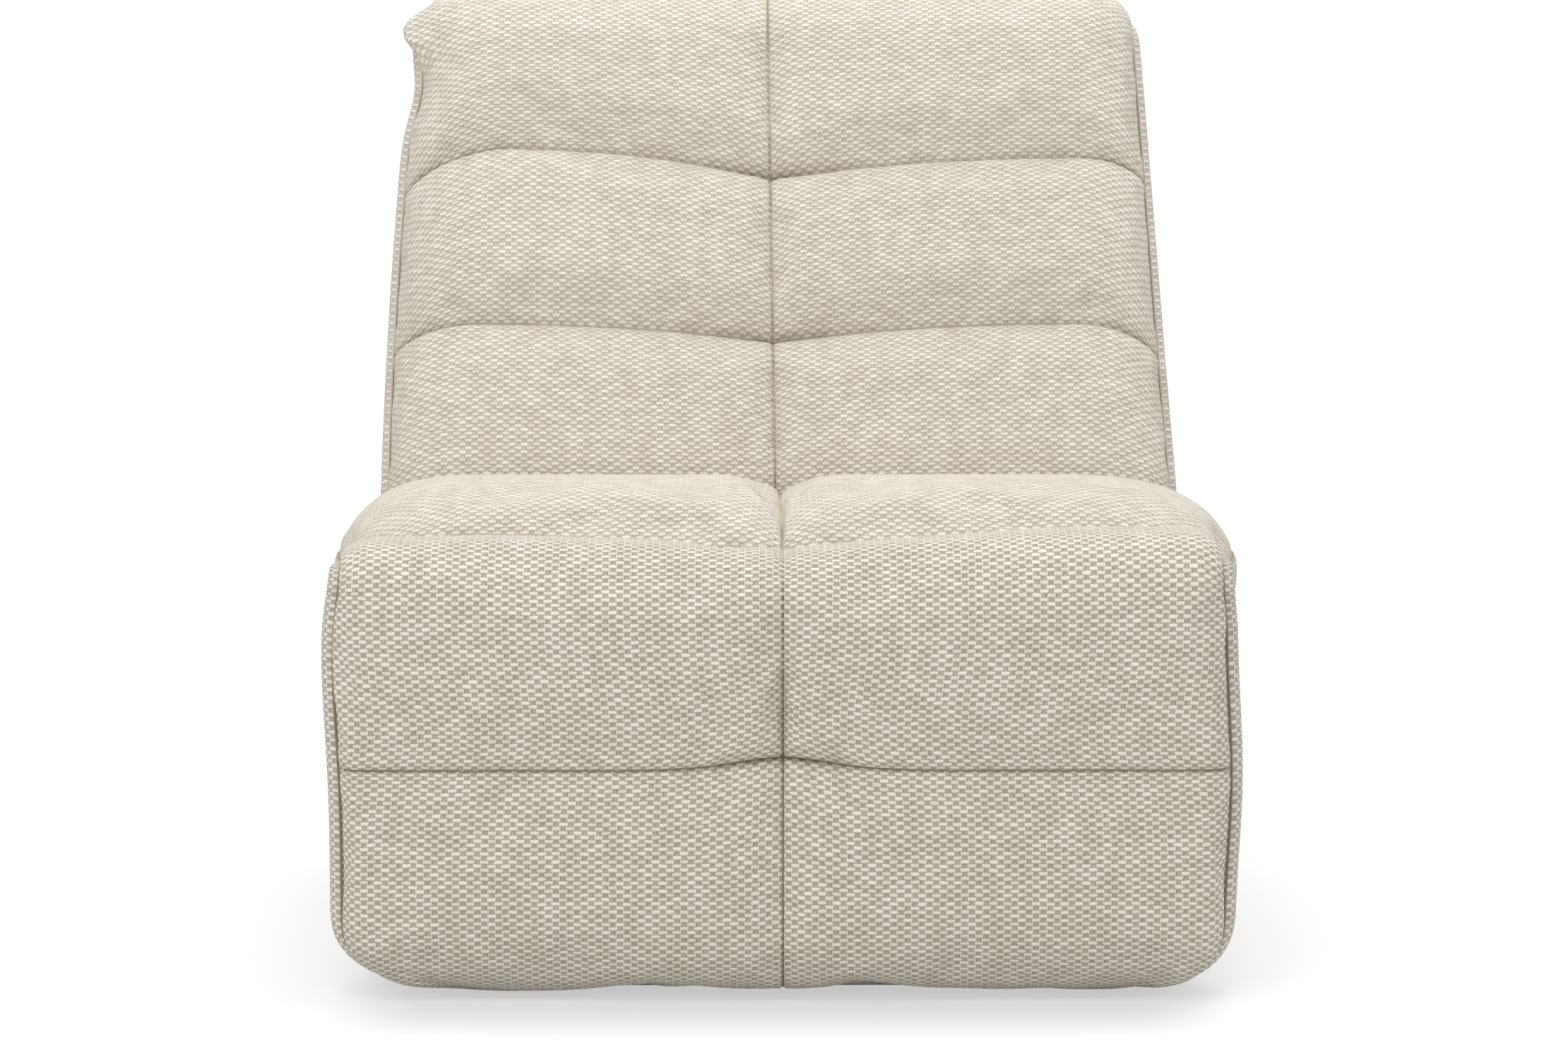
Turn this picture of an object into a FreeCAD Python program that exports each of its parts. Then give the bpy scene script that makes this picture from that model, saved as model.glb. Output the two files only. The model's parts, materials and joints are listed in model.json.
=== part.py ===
import FreeCAD, Part
import os
import Sketcher
from FreeCAD import Vector

# Armless push-back recliner. Millimetres and degrees, +Z up, the front faces -Y, +X is the viewer's right.
# The origin is on the floor under the middle of the chair.

doc = FreeCAD.newDocument("recliner")
sheet = doc.addObject("Spreadsheet::Sheet", "Dims")

SIZES = (
    ("overall_width", 820),
    ("overall_depth", 1030),
    ("overall_height", 930),
    # base and its layers, counted inward from the side
    ("side_inset", 10),
    ("side_pad", 38),
    ("rail_thickness", 25),
    ("plate_thickness", 4),
    ("link_thickness", 4),
    ("link_play", 1),
    ("rail_bottom", 60),
    ("rail_top", 276),
    ("base_setback", 18),
    ("base_tail", 58),
    ("cross_rail_height", 50),
    ("cross_rail_setback", 100),
    ("panel_bottom", 30),
    ("panel_rise", 2),
    ("panel_round", 9),
    ("panel_slope_ahead", 5),
    ("panel_slope_behind", 25),
    ("rear_pad", 30),
    ("foot_radius", 12),
    ("foot_top_radius", 10.8),
    ("foot_inset", 45),
    ("dust_cover", 1.2),
    ("dust_cover_play", 2),
    ("soft_gap", 0.3),
    # mechanism side plates
    ("plate_margin", 18),
    ("plate_block", 90),
    ("hinge_margin", 16),
    ("web_bottom", 150),
    ("web_top", 205),
    ("slot_margin", 6),
    ("anchor_ear", 14),
    ("rail_lap", 8),
    ("front_bolt_inset", 12),
    ("middle_bolt_ahead", 110),
    ("rear_bolt_inset", 20),
    ("plate_bolt_reach", 18),
    ("seat_screw_reach", 25),
    ("bracket_bolt_reach", 22),
    ("head_thickness", 3),
    # legrest and its linkage
    ("legrest_top", 412),
    ("legrest_bottom", 22),
    ("legrest_pad", 117),
    ("legrest_board", 18),
    ("board_margin", 26),
    ("bracket_reach", 20),
    ("bracket_drop", 105),
    ("bracket_rise", 15),
    ("bracket_fall", 48),
    ("bracket_edge", 12),
    ("control_edge", 10),
    ("flange_width", 40),
    ("flange_thickness", 3),
    ("flange_screw_low", 8),
    ("flange_screw_high", 50),
    ("flange_screw_radius", 6),
    ("flange_screw_head", 2.5),
    ("scissor_half", 138.5),
    ("scissor_tilt", 14.8),
    ("scissor_fold", 80),
    ("recline_sweep", 44),
    ("rear_link_length", 190),
    ("control_back", 10),
    ("control_drop", 30),
    ("control_hole", 9.2),
    ("control_hole_along", 1.24),
    ("control_hole_down", 3.34),
    ("control_rim", 4.5),
    ("control_pin", 4),
    ("crank_length", 100),
    ("spring_arm", 60),
    ("spring_length", 195),
    ("spring_rise", 7),
    ("spring_radius", 8),
    ("spring_wall", 2.5),
    ("spring_clear", 24),
    ("spring_pin_end", 5),
    ("hook_wire", 1.5),
    ("hook_play", 0.2),
    ("link_half", 11),
    ("pin_radius", 5),
    ("running_gap", 0.05),
    ("roller_radius", 8),
    ("spacer_radius", 8.5),
    ("tube_radius", 12.5),
    ("tube_wall", 2),
    ("tube_clear", 3),
    ("bolt_radius", 4),
    ("bolt_head", 7),
    # seat
    ("seat_gap", 10),
    ("seat_back_gap", 6),
    ("seat_crown", 453),
    ("seat_rail_height", 45),
    ("seat_front_setback", 28),
    ("seat_rear_ahead", 86),
    ("front_board", 9),
    ("front_board_setback", 6),
    ("wire_radius", 1.8),
    ("wire_play", 0.1),
    ("zigzag_pitch", 30),
    ("zigzag_run", 34),
    ("zigzag_margin", 60),
    ("clip_size", 14),
    ("clip_gap", 3),
    # back, measured in its own leaning frame from the hinge
    ("back_lean", 24),
    ("back_pivot_height", 325),
    ("back_start", 30),
    ("back_front", 110),
    ("back_row", 184),
    ("back_taper", 0.05),
    ("frame_front", -4),
    ("frame_depth", 35),
    ("post_width", 35),
    ("back_rail_height", 62),
    ("shell_wall", 16),
    ("shell_edge", 13),
    ("shell_inset", 5),
    ("shell_drop", 14),
    ("shell_round", 12),
    ("strap_setback", 12),
    ("strap_thickness", 2),
    ("strap_height", 55),
    ("strap_low_gap", 70),
    ("strap_middle_gap", 12),
    ("strap_high_gap", 20),
    ("post_drop", 12),
    ("hinge_arm_front", 12),
    ("hinge_arm_drop", 8),
    ("hinge_arm_play", 1),
    ("hinge_arm_top", 158),
    ("hinge_arm_rim", 2),
    ("hinge_bolt_low", 108),
    ("hinge_bolt_high", 142),
)
for row, (name, number) in enumerate(SIZES, start=1):
    sheet.set(f"A{row}", name)
    sheet.set(f"B{row}", str(number))
    sheet.setAlias(f"B{row}", name)
doc.recompute()


def value(formula):
    return float(sheet.evalExpression(formula))


# Formulas shared by several pieces
HALF_WIDTH = "(Dims.overall_width / 2)"
FRONT = "(-Dims.overall_depth / 2)"
PANEL_OUT = f"({HALF_WIDTH} - Dims.side_inset)"
RAIL_OUT = f"({PANEL_OUT} - Dims.side_pad)"
RAIL_IN = f"({RAIL_OUT} - Dims.rail_thickness)"
PLATE_IN = f"({RAIL_IN} - Dims.plate_thickness)"


def layer_out(number):
    return f"({PLATE_IN} - Dims.link_play - {number} * (Dims.link_thickness + Dims.link_play))"


def layer_in(number):
    return f"({layer_out(number)} - Dims.link_thickness)"


# Link layers, from the side plate inward
ROD_LAYER = 0
REAR_LINK_LAYER = 1
FRONT_LINK_LAYER = 2
CONTROL_LAYER = 3
BRACKET_LAYER = 4

# Legrest: pivot on the legrest, main pivot on the side plate, both in the side view
BOARD_BACK = f"({FRONT} + Dims.legrest_pad + Dims.legrest_board)"
LEGREST_PIVOT = (f"({BOARD_BACK} + Dims.bracket_reach)", "(Dims.legrest_top - Dims.bracket_drop)")
FOLDED = "(2 * Dims.scissor_half * cos(Dims.scissor_fold))"
MAIN_PIVOT = (
    f"({LEGREST_PIVOT[0]} + {FOLDED} * cos(Dims.scissor_tilt))",
    f"({LEGREST_PIVOT[1]} + {FOLDED} * sin(Dims.scissor_tilt))",
)
LINK_ANGLE = "(Dims.scissor_tilt + Dims.scissor_fold)"


def crank_end(pivot, distance):
    """Point at a distance from a pivot, along the direction of the folded rear link."""
    return (
        f"({pivot[0]} - {distance} * cos({LINK_ANGLE}))",
        f"({pivot[1]} - {distance} * sin({LINK_ANGLE}))",
    )


def slot_end(fold):
    """Where the lower end of the front link stands in the slot at a fold angle."""
    reach = f"2 * Dims.scissor_half * sin({fold})"
    return (
        f"({MAIN_PIVOT[0]} + {reach} * sin(Dims.scissor_tilt))",
        f"({MAIN_PIVOT[1]} - {reach} * cos(Dims.scissor_tilt))",
    )


CROSS_PIVOT = crank_end(MAIN_PIVOT, "Dims.scissor_half")
ROD_FRONT = crank_end(MAIN_PIVOT, "Dims.crank_length")
SPRING_POINT = crank_end(MAIN_PIVOT, "Dims.spring_arm")
SPRING_ANCHOR = (f"({SPRING_POINT[0]} + Dims.spring_length)", f"({SPRING_POINT[1]} + Dims.spring_rise)")
CONTROL_LOW = crank_end(MAIN_PIVOT, "Dims.rear_link_length")
CONTROL_PIN = (
    f"({LEGREST_PIVOT[0]} + Dims.control_back)",
    f"({LEGREST_PIVOT[1]} - Dims.control_drop)",
)
CONTROL_HIGH = (
    f"({CONTROL_PIN[0]} + Dims.control_hole_along)",
    f"({CONTROL_PIN[1]} - Dims.control_hole_down)",
)
SLOT_LOW = slot_end("Dims.scissor_fold")
SLOT_HIGH = slot_end("(Dims.scissor_fold - Dims.recline_sweep)")

# Back: hinge point and the leaning frame whose origin it is
ROLL_SHARE = 0.6
BACK_TOP = (
    "((Dims.overall_height - Dims.back_pivot_height"
    f" - {ROLL_SHARE} * Dims.back_front * sin(Dims.back_lean)) / cos(Dims.back_lean))"
)
FRAME_BACK = "(Dims.frame_front + Dims.frame_depth)"
SHELL_TOP = f"({BACK_TOP} - Dims.shell_drop)"
CORNER_RELIEF = "((sin(Dims.back_lean) + cos(Dims.back_lean) - 1) * Dims.shell_round)"
BACK_PIVOT = (
    f"(Dims.overall_depth / 2 - ({FRAME_BACK} + Dims.shell_wall) * cos(Dims.back_lean)"
    f" - {SHELL_TOP} * sin(Dims.back_lean) + {CORNER_RELIEF})",
    "Dims.back_pivot_height",
)
ROD_REAR = crank_end(BACK_PIVOT, "Dims.crank_length")


def leaning(depth, rise):
    """Side-view point given by depth and rise in the leaning frame of the back."""
    return (
        f"({BACK_PIVOT[0]} + ({depth}) * cos(Dims.back_lean) + ({rise}) * sin(Dims.back_lean))",
        f"({BACK_PIVOT[1]} - ({depth}) * sin(Dims.back_lean) + ({rise}) * cos(Dims.back_lean))",
    )


# Seat
SEAT_FRONT = f"({BOARD_BACK} + Dims.seat_gap)"
SEAT_REAR = f"({leaning('-Dims.back_front', 'Dims.back_start')[0]} - Dims.seat_back_gap)"
SEAT_RAIL_TOP = f"({MAIN_PIVOT[1]} + Dims.tube_radius + Dims.tube_clear)"
CUSHION_BOTTOM = f"({SEAT_RAIL_TOP} + Dims.front_board + Dims.soft_gap)"
FRONT_RAIL = f"({MAIN_PIVOT[0]} + Dims.seat_front_setback)"
REAR_RAIL = f"({BACK_PIVOT[0]} - Dims.seat_rear_ahead)"
BASE_FRONT = f"({BOARD_BACK} + Dims.base_setback)"
BASE_REAR = f"({BACK_PIVOT[0]} + Dims.base_tail)"
PANEL_SLOPE_LOW = f"({BACK_PIVOT[0]} + Dims.panel_slope_behind)"
PANEL_SLOPE_HIGH = f"({BACK_PIVOT[0]} - Dims.panel_slope_ahead)"

finished = []


def keep(item, label):
    item.Label = label
    finished.append(item)
    return item


def place(item, across, along, up, axis="1; 0; 0", turn="0"):
    item.setExpression(
        "Placement",
        f"create(<<placement>>; create(<<vector>>; {across}; {along}; {up});"
        f" create(<<rotation>>; create(<<vector>>; {axis}); {turn}))",
    )


# Straight pieces: boxes, cylinders along X and groups of them

def box(name, across, along, up):
    """Upright box; each direction is a start and a size."""
    item = doc.addObject("Part::Box", name)
    item.setExpression("Length", across[1])
    item.setExpression("Width", along[1])
    item.setExpression("Height", up[1])
    place(item, across[0], along[0], up[0])
    return item


def leaning_box(name, across, depth, rise):
    """Box that leans with the back."""
    item = doc.addObject("Part::Box", name)
    item.setExpression("Length", across[1])
    item.setExpression("Width", depth[1])
    item.setExpression("Height", rise[1])
    corner = leaning(depth[0], rise[0])
    place(item, across[0], corner[0], corner[1], turn="-Dims.back_lean")
    return item


def cylinder(name, radius, start, end, point):
    """Cylinder along X between two values of X, through a side-view point."""
    item = doc.addObject("Part::Cylinder", name)
    item.setExpression("Radius", radius)
    item.setExpression("Height", f"({end}) - ({start})")
    place(item, start, point[0], point[1], axis="0; 1; 0", turn="90")
    return item


def ring(name, outer, inner, start, end, point):
    """Tube along X."""
    item = doc.addObject("Part::Cut", name)
    item.Base = cylinder(name + "_outside", outer, start, end, point)
    item.Tool = cylinder(name + "_inside", inner, start, end, point)
    return item


def group(label, items):
    item = doc.addObject("Part::Compound", label)
    item.Links = items
    return keep(item, label)


def both_sides(name, build, inner, outer):
    """Call build(name, start, end) for the right side and the left side."""
    return [build(name + "_right", inner, outer), build(name + "_left", f"-{outer}", f"-{inner}")]


def pins(label, radius, inner, outer, points):
    """Flush rivets on both sides of the chair, one pair for each side-view point."""
    items = []
    for number, point in enumerate(points, start=1):
        name = f"{label}_{number}"
        items += both_sides(name, lambda n, a, b: cylinder(n, radius, a, b, point), inner, outer)
    return group(label, items)


def spacers(label, inner, outer, points):
    """Nylon rings on the pins between two layers that aren't neighbours."""
    items = []
    for number, point in enumerate(points, start=1):
        name = f"{label}_{number}"
        make = lambda n, a, b: ring(n, "Dims.spacer_radius", "Dims.pin_radius", a, b, point)
        items += both_sides(name, make, inner, outer)
    return group(label, items)


def screws(label, head_at, head_grow, tip_at, points):
    """Screws along X: a head of head_grow thickness at head_at and a shank that ends at tip_at."""
    items = []
    for number, point in enumerate(points, start=1):
        for side in (1, -1):
            name = f"{label}_{number}_{'right' if side > 0 else 'left'}"
            ends = [f"{side} * {head_at}", f"{side} * ({head_at} + {head_grow})", f"{side} * {tip_at}"]
            head_ends = sorted(ends[:2], key=value)
            shank_ends = sorted([ends[0], ends[2]], key=value)
            screw = doc.addObject("Part::MultiFuse", name)
            screw.Shapes = [
                cylinder(name + "_head", "Dims.bolt_head", head_ends[0], head_ends[1], point),
                cylinder(name + "_shank", "Dims.bolt_radius", shank_ends[0], shank_ends[1], point),
            ]
            items.append(screw)
    return group(label, items)


# Flat steel pieces: sketches on the side-view plane, padded to their thickness

def origin_plane(body, role):
    for item in body.Origin.OriginFeatures:
        if item.Role == role:
            return item


def new_sketch(body, role, name):
    sketch = body.newObject("Sketcher::SketchObject", name)
    sketch.AttachmentSupport = [(origin_plane(body, role), "")]
    sketch.MapMode = "FlatFace"
    return sketch


def bind_point(sketch, geometry, end, point):
    for kind, formula in (("DistanceX", point[0]), ("DistanceY", point[1])):
        number = sketch.addConstraint(Sketcher.Constraint(kind, -1, 1, geometry, end, value(formula)))
        sketch.setExpression(f"Constraints[{number}]", formula)


def draw_polygon(sketch, points):
    corners = [Vector(value(across), value(up), 0) for across, up in points]
    first = sketch.GeometryCount
    for start, end in zip(corners, corners[1:] + corners[:1]):
        sketch.addGeometry(Part.LineSegment(start, end))
    count = len(corners)
    for number in range(count):
        follower = first + (number + 1) % count
        sketch.addConstraint(Sketcher.Constraint("Coincident", first + number, 2, follower, 1))
    for number, point in enumerate(points):
        bind_point(sketch, first + number, 1, point)


def draw_bar(sketch, start, end, half_width):
    """Bar with half-round ends about two points."""
    first = Vector(value(start[0]), value(start[1]), 0)
    last = Vector(value(end[0]), value(end[1]), 0)
    radius = value(half_width)
    heading = (last - first).getAngle(Vector(1, 0, 0))
    if last.y < first.y:
        heading = -heading
    quarter = FreeCAD.Units.parseQuantity("90 deg").getValueAs("rad").Value
    normal = Vector(0, 0, 1)
    side = normal.cross(last - first).normalize() * radius
    tail = sketch.addGeometry(
        Part.ArcOfCircle(Part.Circle(first, normal, radius), heading + quarter, heading + 3 * quarter)
    )
    lower = sketch.addGeometry(Part.LineSegment(first - side, last - side))
    nose = sketch.addGeometry(
        Part.ArcOfCircle(Part.Circle(last, normal, radius), heading - quarter, heading + quarter)
    )
    upper = sketch.addGeometry(Part.LineSegment(last + side, first + side))
    for before, after in ((tail, lower), (lower, nose), (nose, upper), (upper, tail)):
        sketch.addConstraint(Sketcher.Constraint("Tangent", before, 2, after, 1))
    sketch.addConstraint(Sketcher.Constraint("Equal", tail, nose))
    number = sketch.addConstraint(Sketcher.Constraint("Radius", tail, radius))
    sketch.setExpression(f"Constraints[{number}]", half_width)
    bind_point(sketch, tail, 3, start)
    bind_point(sketch, nose, 3, end)


def draw_circle(sketch, centre, radius):
    middle = Vector(value(centre[0]), value(centre[1]), 0)
    circle = sketch.addGeometry(Part.Circle(middle, Vector(0, 0, 1), value(radius)))
    number = sketch.addConstraint(Sketcher.Constraint("Radius", circle, value(radius)))
    sketch.setExpression(f"Constraints[{number}]", radius)
    bind_point(sketch, circle, 3, centre)


def steel_plate(label, outlines, holes, slots, thickness, inner, outer, side):
    """Flat piece in a side-view layer; an outline is a list of corners or a bar (start, end, half width)."""
    body = doc.addObject("PartDesign::Body", label)
    for number, outline in enumerate(outlines):
        sketch = new_sketch(body, "YZ_Plane", f"{label}_outline_{number}")
        if isinstance(outline, list):
            draw_polygon(sketch, outline)
        else:
            draw_bar(sketch, *outline)
        pad = body.newObject("PartDesign::Pad", f"{label}_pad_{number}")
        pad.Profile = sketch
        pad.setExpression("Length", thickness)
    doc.recompute()
    solid_volume = pad.Shape.Volume
    sketch = new_sketch(body, "YZ_Plane", f"{label}_holes")
    for centre, radius in holes:
        draw_circle(sketch, centre, radius)
    for slot in slots:
        draw_bar(sketch, *slot)
    cut = body.newObject("PartDesign::Pocket", f"{label}_cut")
    cut.Profile = sketch
    cut.Type = "ThroughAll"
    cut.Midplane = True
    doc.recompute()
    if cut.Shape.Volume >= solid_volume:
        raise RuntimeError(f"holes of {label} did not cut")
    place(body, inner if side > 0 else f"-{outer}", "0", "0")
    return keep(body, label)


SIDES = (("right", 1), ("left", -1))
FIT_HOLE = "Dims.pin_radius"
TURNING_HOLE = "(Dims.pin_radius + Dims.running_gap)"


# Base: side rails, cross rails, feet

rail_length = f"({BASE_REAR} - {BASE_FRONT})"
side_rail_up = ("Dims.rail_bottom", "Dims.rail_top - Dims.rail_bottom")
for side_name, side in SIDES:
    start = RAIL_IN if side > 0 else f"-{RAIL_OUT}"
    rail = box(
        f"side_rail_{side_name}",
        (start, "Dims.rail_thickness"),
        (BASE_FRONT, rail_length),
        side_rail_up,
    )
    keep(rail, f"side_rail_{side_name}")

between_rails = (f"-{RAIL_IN}", f"2 * {RAIL_IN}")
cross_rail_up = ("Dims.rail_bottom", "Dims.cross_rail_height")
CROSS_RAIL = f"({MAIN_PIVOT[0]} + Dims.cross_rail_setback)"
front_cross = box("front_cross_rail", between_rails, (CROSS_RAIL, "Dims.rail_thickness"), cross_rail_up)
keep(front_cross, "front_cross_rail")
rear_cross = box(
    "rear_cross_rail",
    between_rails,
    (f"{BASE_REAR} - Dims.rail_thickness", "Dims.rail_thickness"),
    ("Dims.rail_bottom", "2 * Dims.cross_rail_height"),
)
keep(rear_cross, "rear_cross_rail")

foot_across = f"({RAIL_IN} + Dims.rail_thickness / 2)"
foot_ends = (("front", f"{BASE_FRONT} + Dims.foot_inset"), ("rear", f"{BASE_REAR} - Dims.foot_inset"))
feet = []
for side_name, side in SIDES:
    for end_name, along in foot_ends:
        foot = doc.addObject("Part::Cone", f"foot_{end_name}_{side_name}")
        foot.setExpression("Radius1", "Dims.foot_radius")
        foot.setExpression("Radius2", "Dims.foot_top_radius")
        foot.setExpression("Height", "Dims.rail_bottom")
        place(foot, f"{side} * {foot_across}", along, "0")
        feet.append(foot)
group("glide_feet", feet)

dust_cover_half = f"({RAIL_IN} - Dims.dust_cover_play)"
dust_cover = box(
    "dust_cover",
    (f"-{dust_cover_half}", f"2 * {dust_cover_half}"),
    (CROSS_RAIL, f"{BASE_REAR} - {CROSS_RAIL}"),
    ("Dims.rail_bottom - Dims.soft_gap - Dims.dust_cover", "Dims.dust_cover"),
)
keep(dust_cover, "dust_cover")


# Base: padded panels

def padded_panel(label, role, points, thickness, across, along):
    body = doc.addObject("PartDesign::Body", label)
    sketch = new_sketch(body, role, f"{label}_outline")
    draw_polygon(sketch, points)
    pad = body.newObject("PartDesign::Pad", f"{label}_pad")
    pad.Profile = sketch
    pad.Reversed = role == "XZ_Plane"
    pad.setExpression("Length", thickness)
    doc.recompute()
    rounded = body.newObject("PartDesign::Fillet", f"{label}_round")
    rounded.Base = (pad, [f"Edge{number + 1}" for number in range(len(pad.Shape.Edges))])
    rounded.setExpression("Radius", "Dims.panel_round")
    place(body, across, along, "0")
    return keep(body, label)


panel_top = f"({CUSHION_BOTTOM} - Dims.soft_gap)"
panel_low_top = "(Dims.rail_top + Dims.panel_rise)"
side_outline = [
    (BASE_FRONT, "Dims.panel_bottom"),
    (BASE_REAR, "Dims.panel_bottom"),
    (BASE_REAR, panel_low_top),
    (PANEL_SLOPE_LOW, panel_low_top),
    (PANEL_SLOPE_HIGH, panel_top),
    (BASE_FRONT, panel_top),
]
for side_name, side in SIDES:
    start = RAIL_OUT if side > 0 else f"-{PANEL_OUT}"
    padded_panel(f"side_panel_{side_name}", "YZ_Plane", side_outline, "Dims.side_pad", start, "0")

rear_outline = [
    (f"-{PANEL_OUT}", "Dims.panel_bottom"),
    (PANEL_OUT, "Dims.panel_bottom"),
    (PANEL_OUT, panel_low_top),
    (f"-{PANEL_OUT}", panel_low_top),
]
padded_panel("rear_panel", "XZ_Plane", rear_outline, "Dims.rear_pad", "0", BASE_REAR)


# Mechanism side plates: a front block with the slot, a long web and a rear block with the back hinge

WEB_LOW = "Dims.web_bottom"
WEB_HIGH = "Dims.web_top"
plate_front = f"({MAIN_PIVOT[0]} - Dims.plate_margin)"
plate_block = f"({MAIN_PIVOT[0]} + Dims.plate_block)"
plate_rear = f"({BACK_PIVOT[0]} + Dims.plate_margin)"
plate_ear = f"({REAR_RAIL} - Dims.rail_lap)"
front_block_rear = f"({FRONT_RAIL} + Dims.rail_thickness + Dims.rail_lap)"
ear_top = f"({BACK_PIVOT[1]} + Dims.hinge_margin)"
plate_bottom = f"({SLOT_LOW[1]} - Dims.roller_radius - Dims.slot_margin)"
plate_outline = [
    (plate_front, plate_bottom),
    (plate_block, plate_bottom),
    (plate_block, WEB_LOW),
    (plate_rear, WEB_LOW),
    (plate_rear, ear_top),
    (plate_ear, ear_top),
    (plate_ear, WEB_HIGH),
    (front_block_rear, WEB_HIGH),
    (front_block_rear, SEAT_RAIL_TOP),
    (plate_front, SEAT_RAIL_TOP),
]
bolt_level = f"(({WEB_LOW} + {WEB_HIGH}) / 2)"
plate_bolt_points = [
    (f"({plate_block} - Dims.front_bolt_inset)", bolt_level),
    (f"({plate_ear} - Dims.middle_bolt_ahead)", bolt_level),
    (f"({plate_rear} - Dims.rear_bolt_inset)", bolt_level),
]
seat_screw_level = f"({SEAT_RAIL_TOP} - Dims.seat_rail_height / 2)"
seat_screw_points = [
    (f"({FRONT_RAIL} + Dims.rail_thickness / 2)", seat_screw_level),
    (f"({REAR_RAIL} + Dims.rail_thickness / 2)", seat_screw_level),
]
plate_holes = [(MAIN_PIVOT, FIT_HOLE), (BACK_PIVOT, FIT_HOLE), (SPRING_ANCHOR, FIT_HOLE)]
plate_holes += [(point, "Dims.bolt_radius") for point in plate_bolt_points + seat_screw_points]
anchor_ear = (SPRING_ANCHOR, (SPRING_ANCHOR[0], f"({WEB_HIGH} - Dims.anchor_ear)"), "Dims.anchor_ear")
slot_half = "(Dims.roller_radius + 2 * Dims.running_gap)"
for side_name, side in SIDES:
    steel_plate(
        f"mechanism_plate_{side_name}",
        [plate_outline, anchor_ear],
        plate_holes,
        [(SLOT_LOW, SLOT_HIGH, slot_half)],
        "Dims.plate_thickness",
        PLATE_IN,
        RAIL_IN,
        side,
    )
HEAD = "Dims.head_thickness"
screws("plate_bolts", PLATE_IN, f"-{HEAD}", f"({RAIL_IN} + Dims.plate_bolt_reach)", plate_bolt_points)
screws("seat_rail_screws", RAIL_IN, HEAD, f"({PLATE_IN} - Dims.seat_screw_reach)", seat_screw_points)
pins("main_pivot_pins", "Dims.pin_radius", layer_in(REAR_LINK_LAYER), RAIL_IN, [MAIN_PIVOT])
pins("back_pivot_pins", "Dims.pin_radius", layer_in(REAR_LINK_LAYER), RAIL_IN, [BACK_PIVOT])
SPRING_LAYER = f"({layer_in(BRACKET_LAYER)} - Dims.spring_clear)"
pins("spring_anchor_pins", "Dims.pin_radius", SPRING_LAYER, RAIL_IN, [SPRING_ANCHOR])
spacer_out = f"({layer_out(REAR_LINK_LAYER)} + Dims.soft_gap)"
spacers("pivot_spacers", spacer_out, PLATE_IN, [MAIN_PIVOT, BACK_PIVOT])


# Seat: rails, front board, zigzag springs, clips

between_plates = (f"-{PLATE_IN}", f"2 * {PLATE_IN}")
seat_rail_up = (f"{SEAT_RAIL_TOP} - Dims.seat_rail_height", "Dims.seat_rail_height")
front_rail = box("seat_front_rail", between_plates, (FRONT_RAIL, "Dims.rail_thickness"), seat_rail_up)
keep(front_rail, "seat_front_rail")
rear_rail = box("seat_rear_rail", between_plates, (REAR_RAIL, "Dims.rail_thickness"), seat_rail_up)
keep(rear_rail, "seat_rear_rail")
board_front = f"({SEAT_FRONT} + Dims.front_board_setback)"
board_rear = f"({FRONT_RAIL} + Dims.rail_lap)"
front_board = box(
    "seat_front_board",
    (f"-{RAIL_OUT}", f"2 * {RAIL_OUT}"),
    (board_front, f"{board_rear} - {board_front}"),
    (SEAT_RAIL_TOP, "Dims.front_board"),
)
keep(front_board, "seat_front_board")

SPRING_COUNT = 5
FRONT_CLIP = f"({board_rear} + Dims.clip_gap)"
REAR_CLIP = f"({REAR_RAIL} + (Dims.rail_thickness - Dims.clip_size) / 2)"
SPRING_STEP = f"(2 * ({PLATE_IN} - Dims.zigzag_margin) / {SPRING_COUNT - 1})"
spring_start = value(f"{FRONT_CLIP} + Dims.clip_size / 2")
spring_end = value(f"{REAR_CLIP} + Dims.clip_size / 2")
wire = value("Dims.wire_radius")
wire_level = value(f"{CUSHION_BOTTOM} - Dims.soft_gap - Dims.wire_radius")
spring_half = value("Dims.zigzag_run / 2")
places_across = [number - (SPRING_COUNT - 1) / 2 for number in range(SPRING_COUNT)]


def zigzag_spring():
    """Flat zigzag of wire from the front rail to the rear rail, made of straight runs and half turns."""
    turns = round((spring_end - spring_start) / value("Dims.zigzag_pitch"))
    pitch = (spring_end - spring_start) / turns
    edges = []
    for number in range(turns + 1):
        along = spring_start + number * pitch
        side = 1 if number % 2 == 0 else -1
        run_start = Vector(-side * spring_half, along, wire_level)
        run_end = Vector(side * spring_half, along, wire_level)
        edges.append(Part.LineSegment(run_start, run_end).toShape())
        if number < turns:
            middle = Vector(side * (spring_half + pitch / 2), along + pitch / 2, wire_level)
            next_run = Vector(side * spring_half, along + pitch, wire_level)
            edges.append(Part.Arc(run_end, middle, next_run).toShape())
    path = Part.Wire(edges)
    profile = Part.Wire(Part.makeCircle(wire, Vector(-spring_half, spring_start, wire_level), Vector(1, 0, 0)))
    return path.makePipeShell([profile], True, False)


one_spring = zigzag_spring()
spring_step = value(SPRING_STEP)
springs = doc.addObject("Part::Feature", "seat_springs")
springs.Shape = Part.makeCompound([one_spring.translated(Vector(n * spring_step, 0, 0)) for n in places_across])
keep(springs, "seat_springs")

clips = []
WIRE_BOTTOM = f"({CUSHION_BOTTOM} - Dims.soft_gap - 2 * Dims.wire_radius)"
clip_height = f"({WIRE_BOTTOM} - {SEAT_RAIL_TOP} - Dims.wire_play)"
for number, place_across in enumerate(places_across):
    for end_name, along in (("front", FRONT_CLIP), ("rear", REAR_CLIP)):
        clip = box(
            f"clip_{end_name}_{number}",
            (f"{place_across} * {SPRING_STEP} - Dims.clip_size / 2", "Dims.clip_size"),
            (along, "Dims.clip_size"),
            (SEAT_RAIL_TOP, clip_height),
        )
        clips.append(clip)
group("spring_clips", clips)


# Soft pieces: each half is a loft across the chair, and its mirror image is joined to it

def arc(start, through, end):
    return Part.Arc(start, through, end).toShape()


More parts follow.
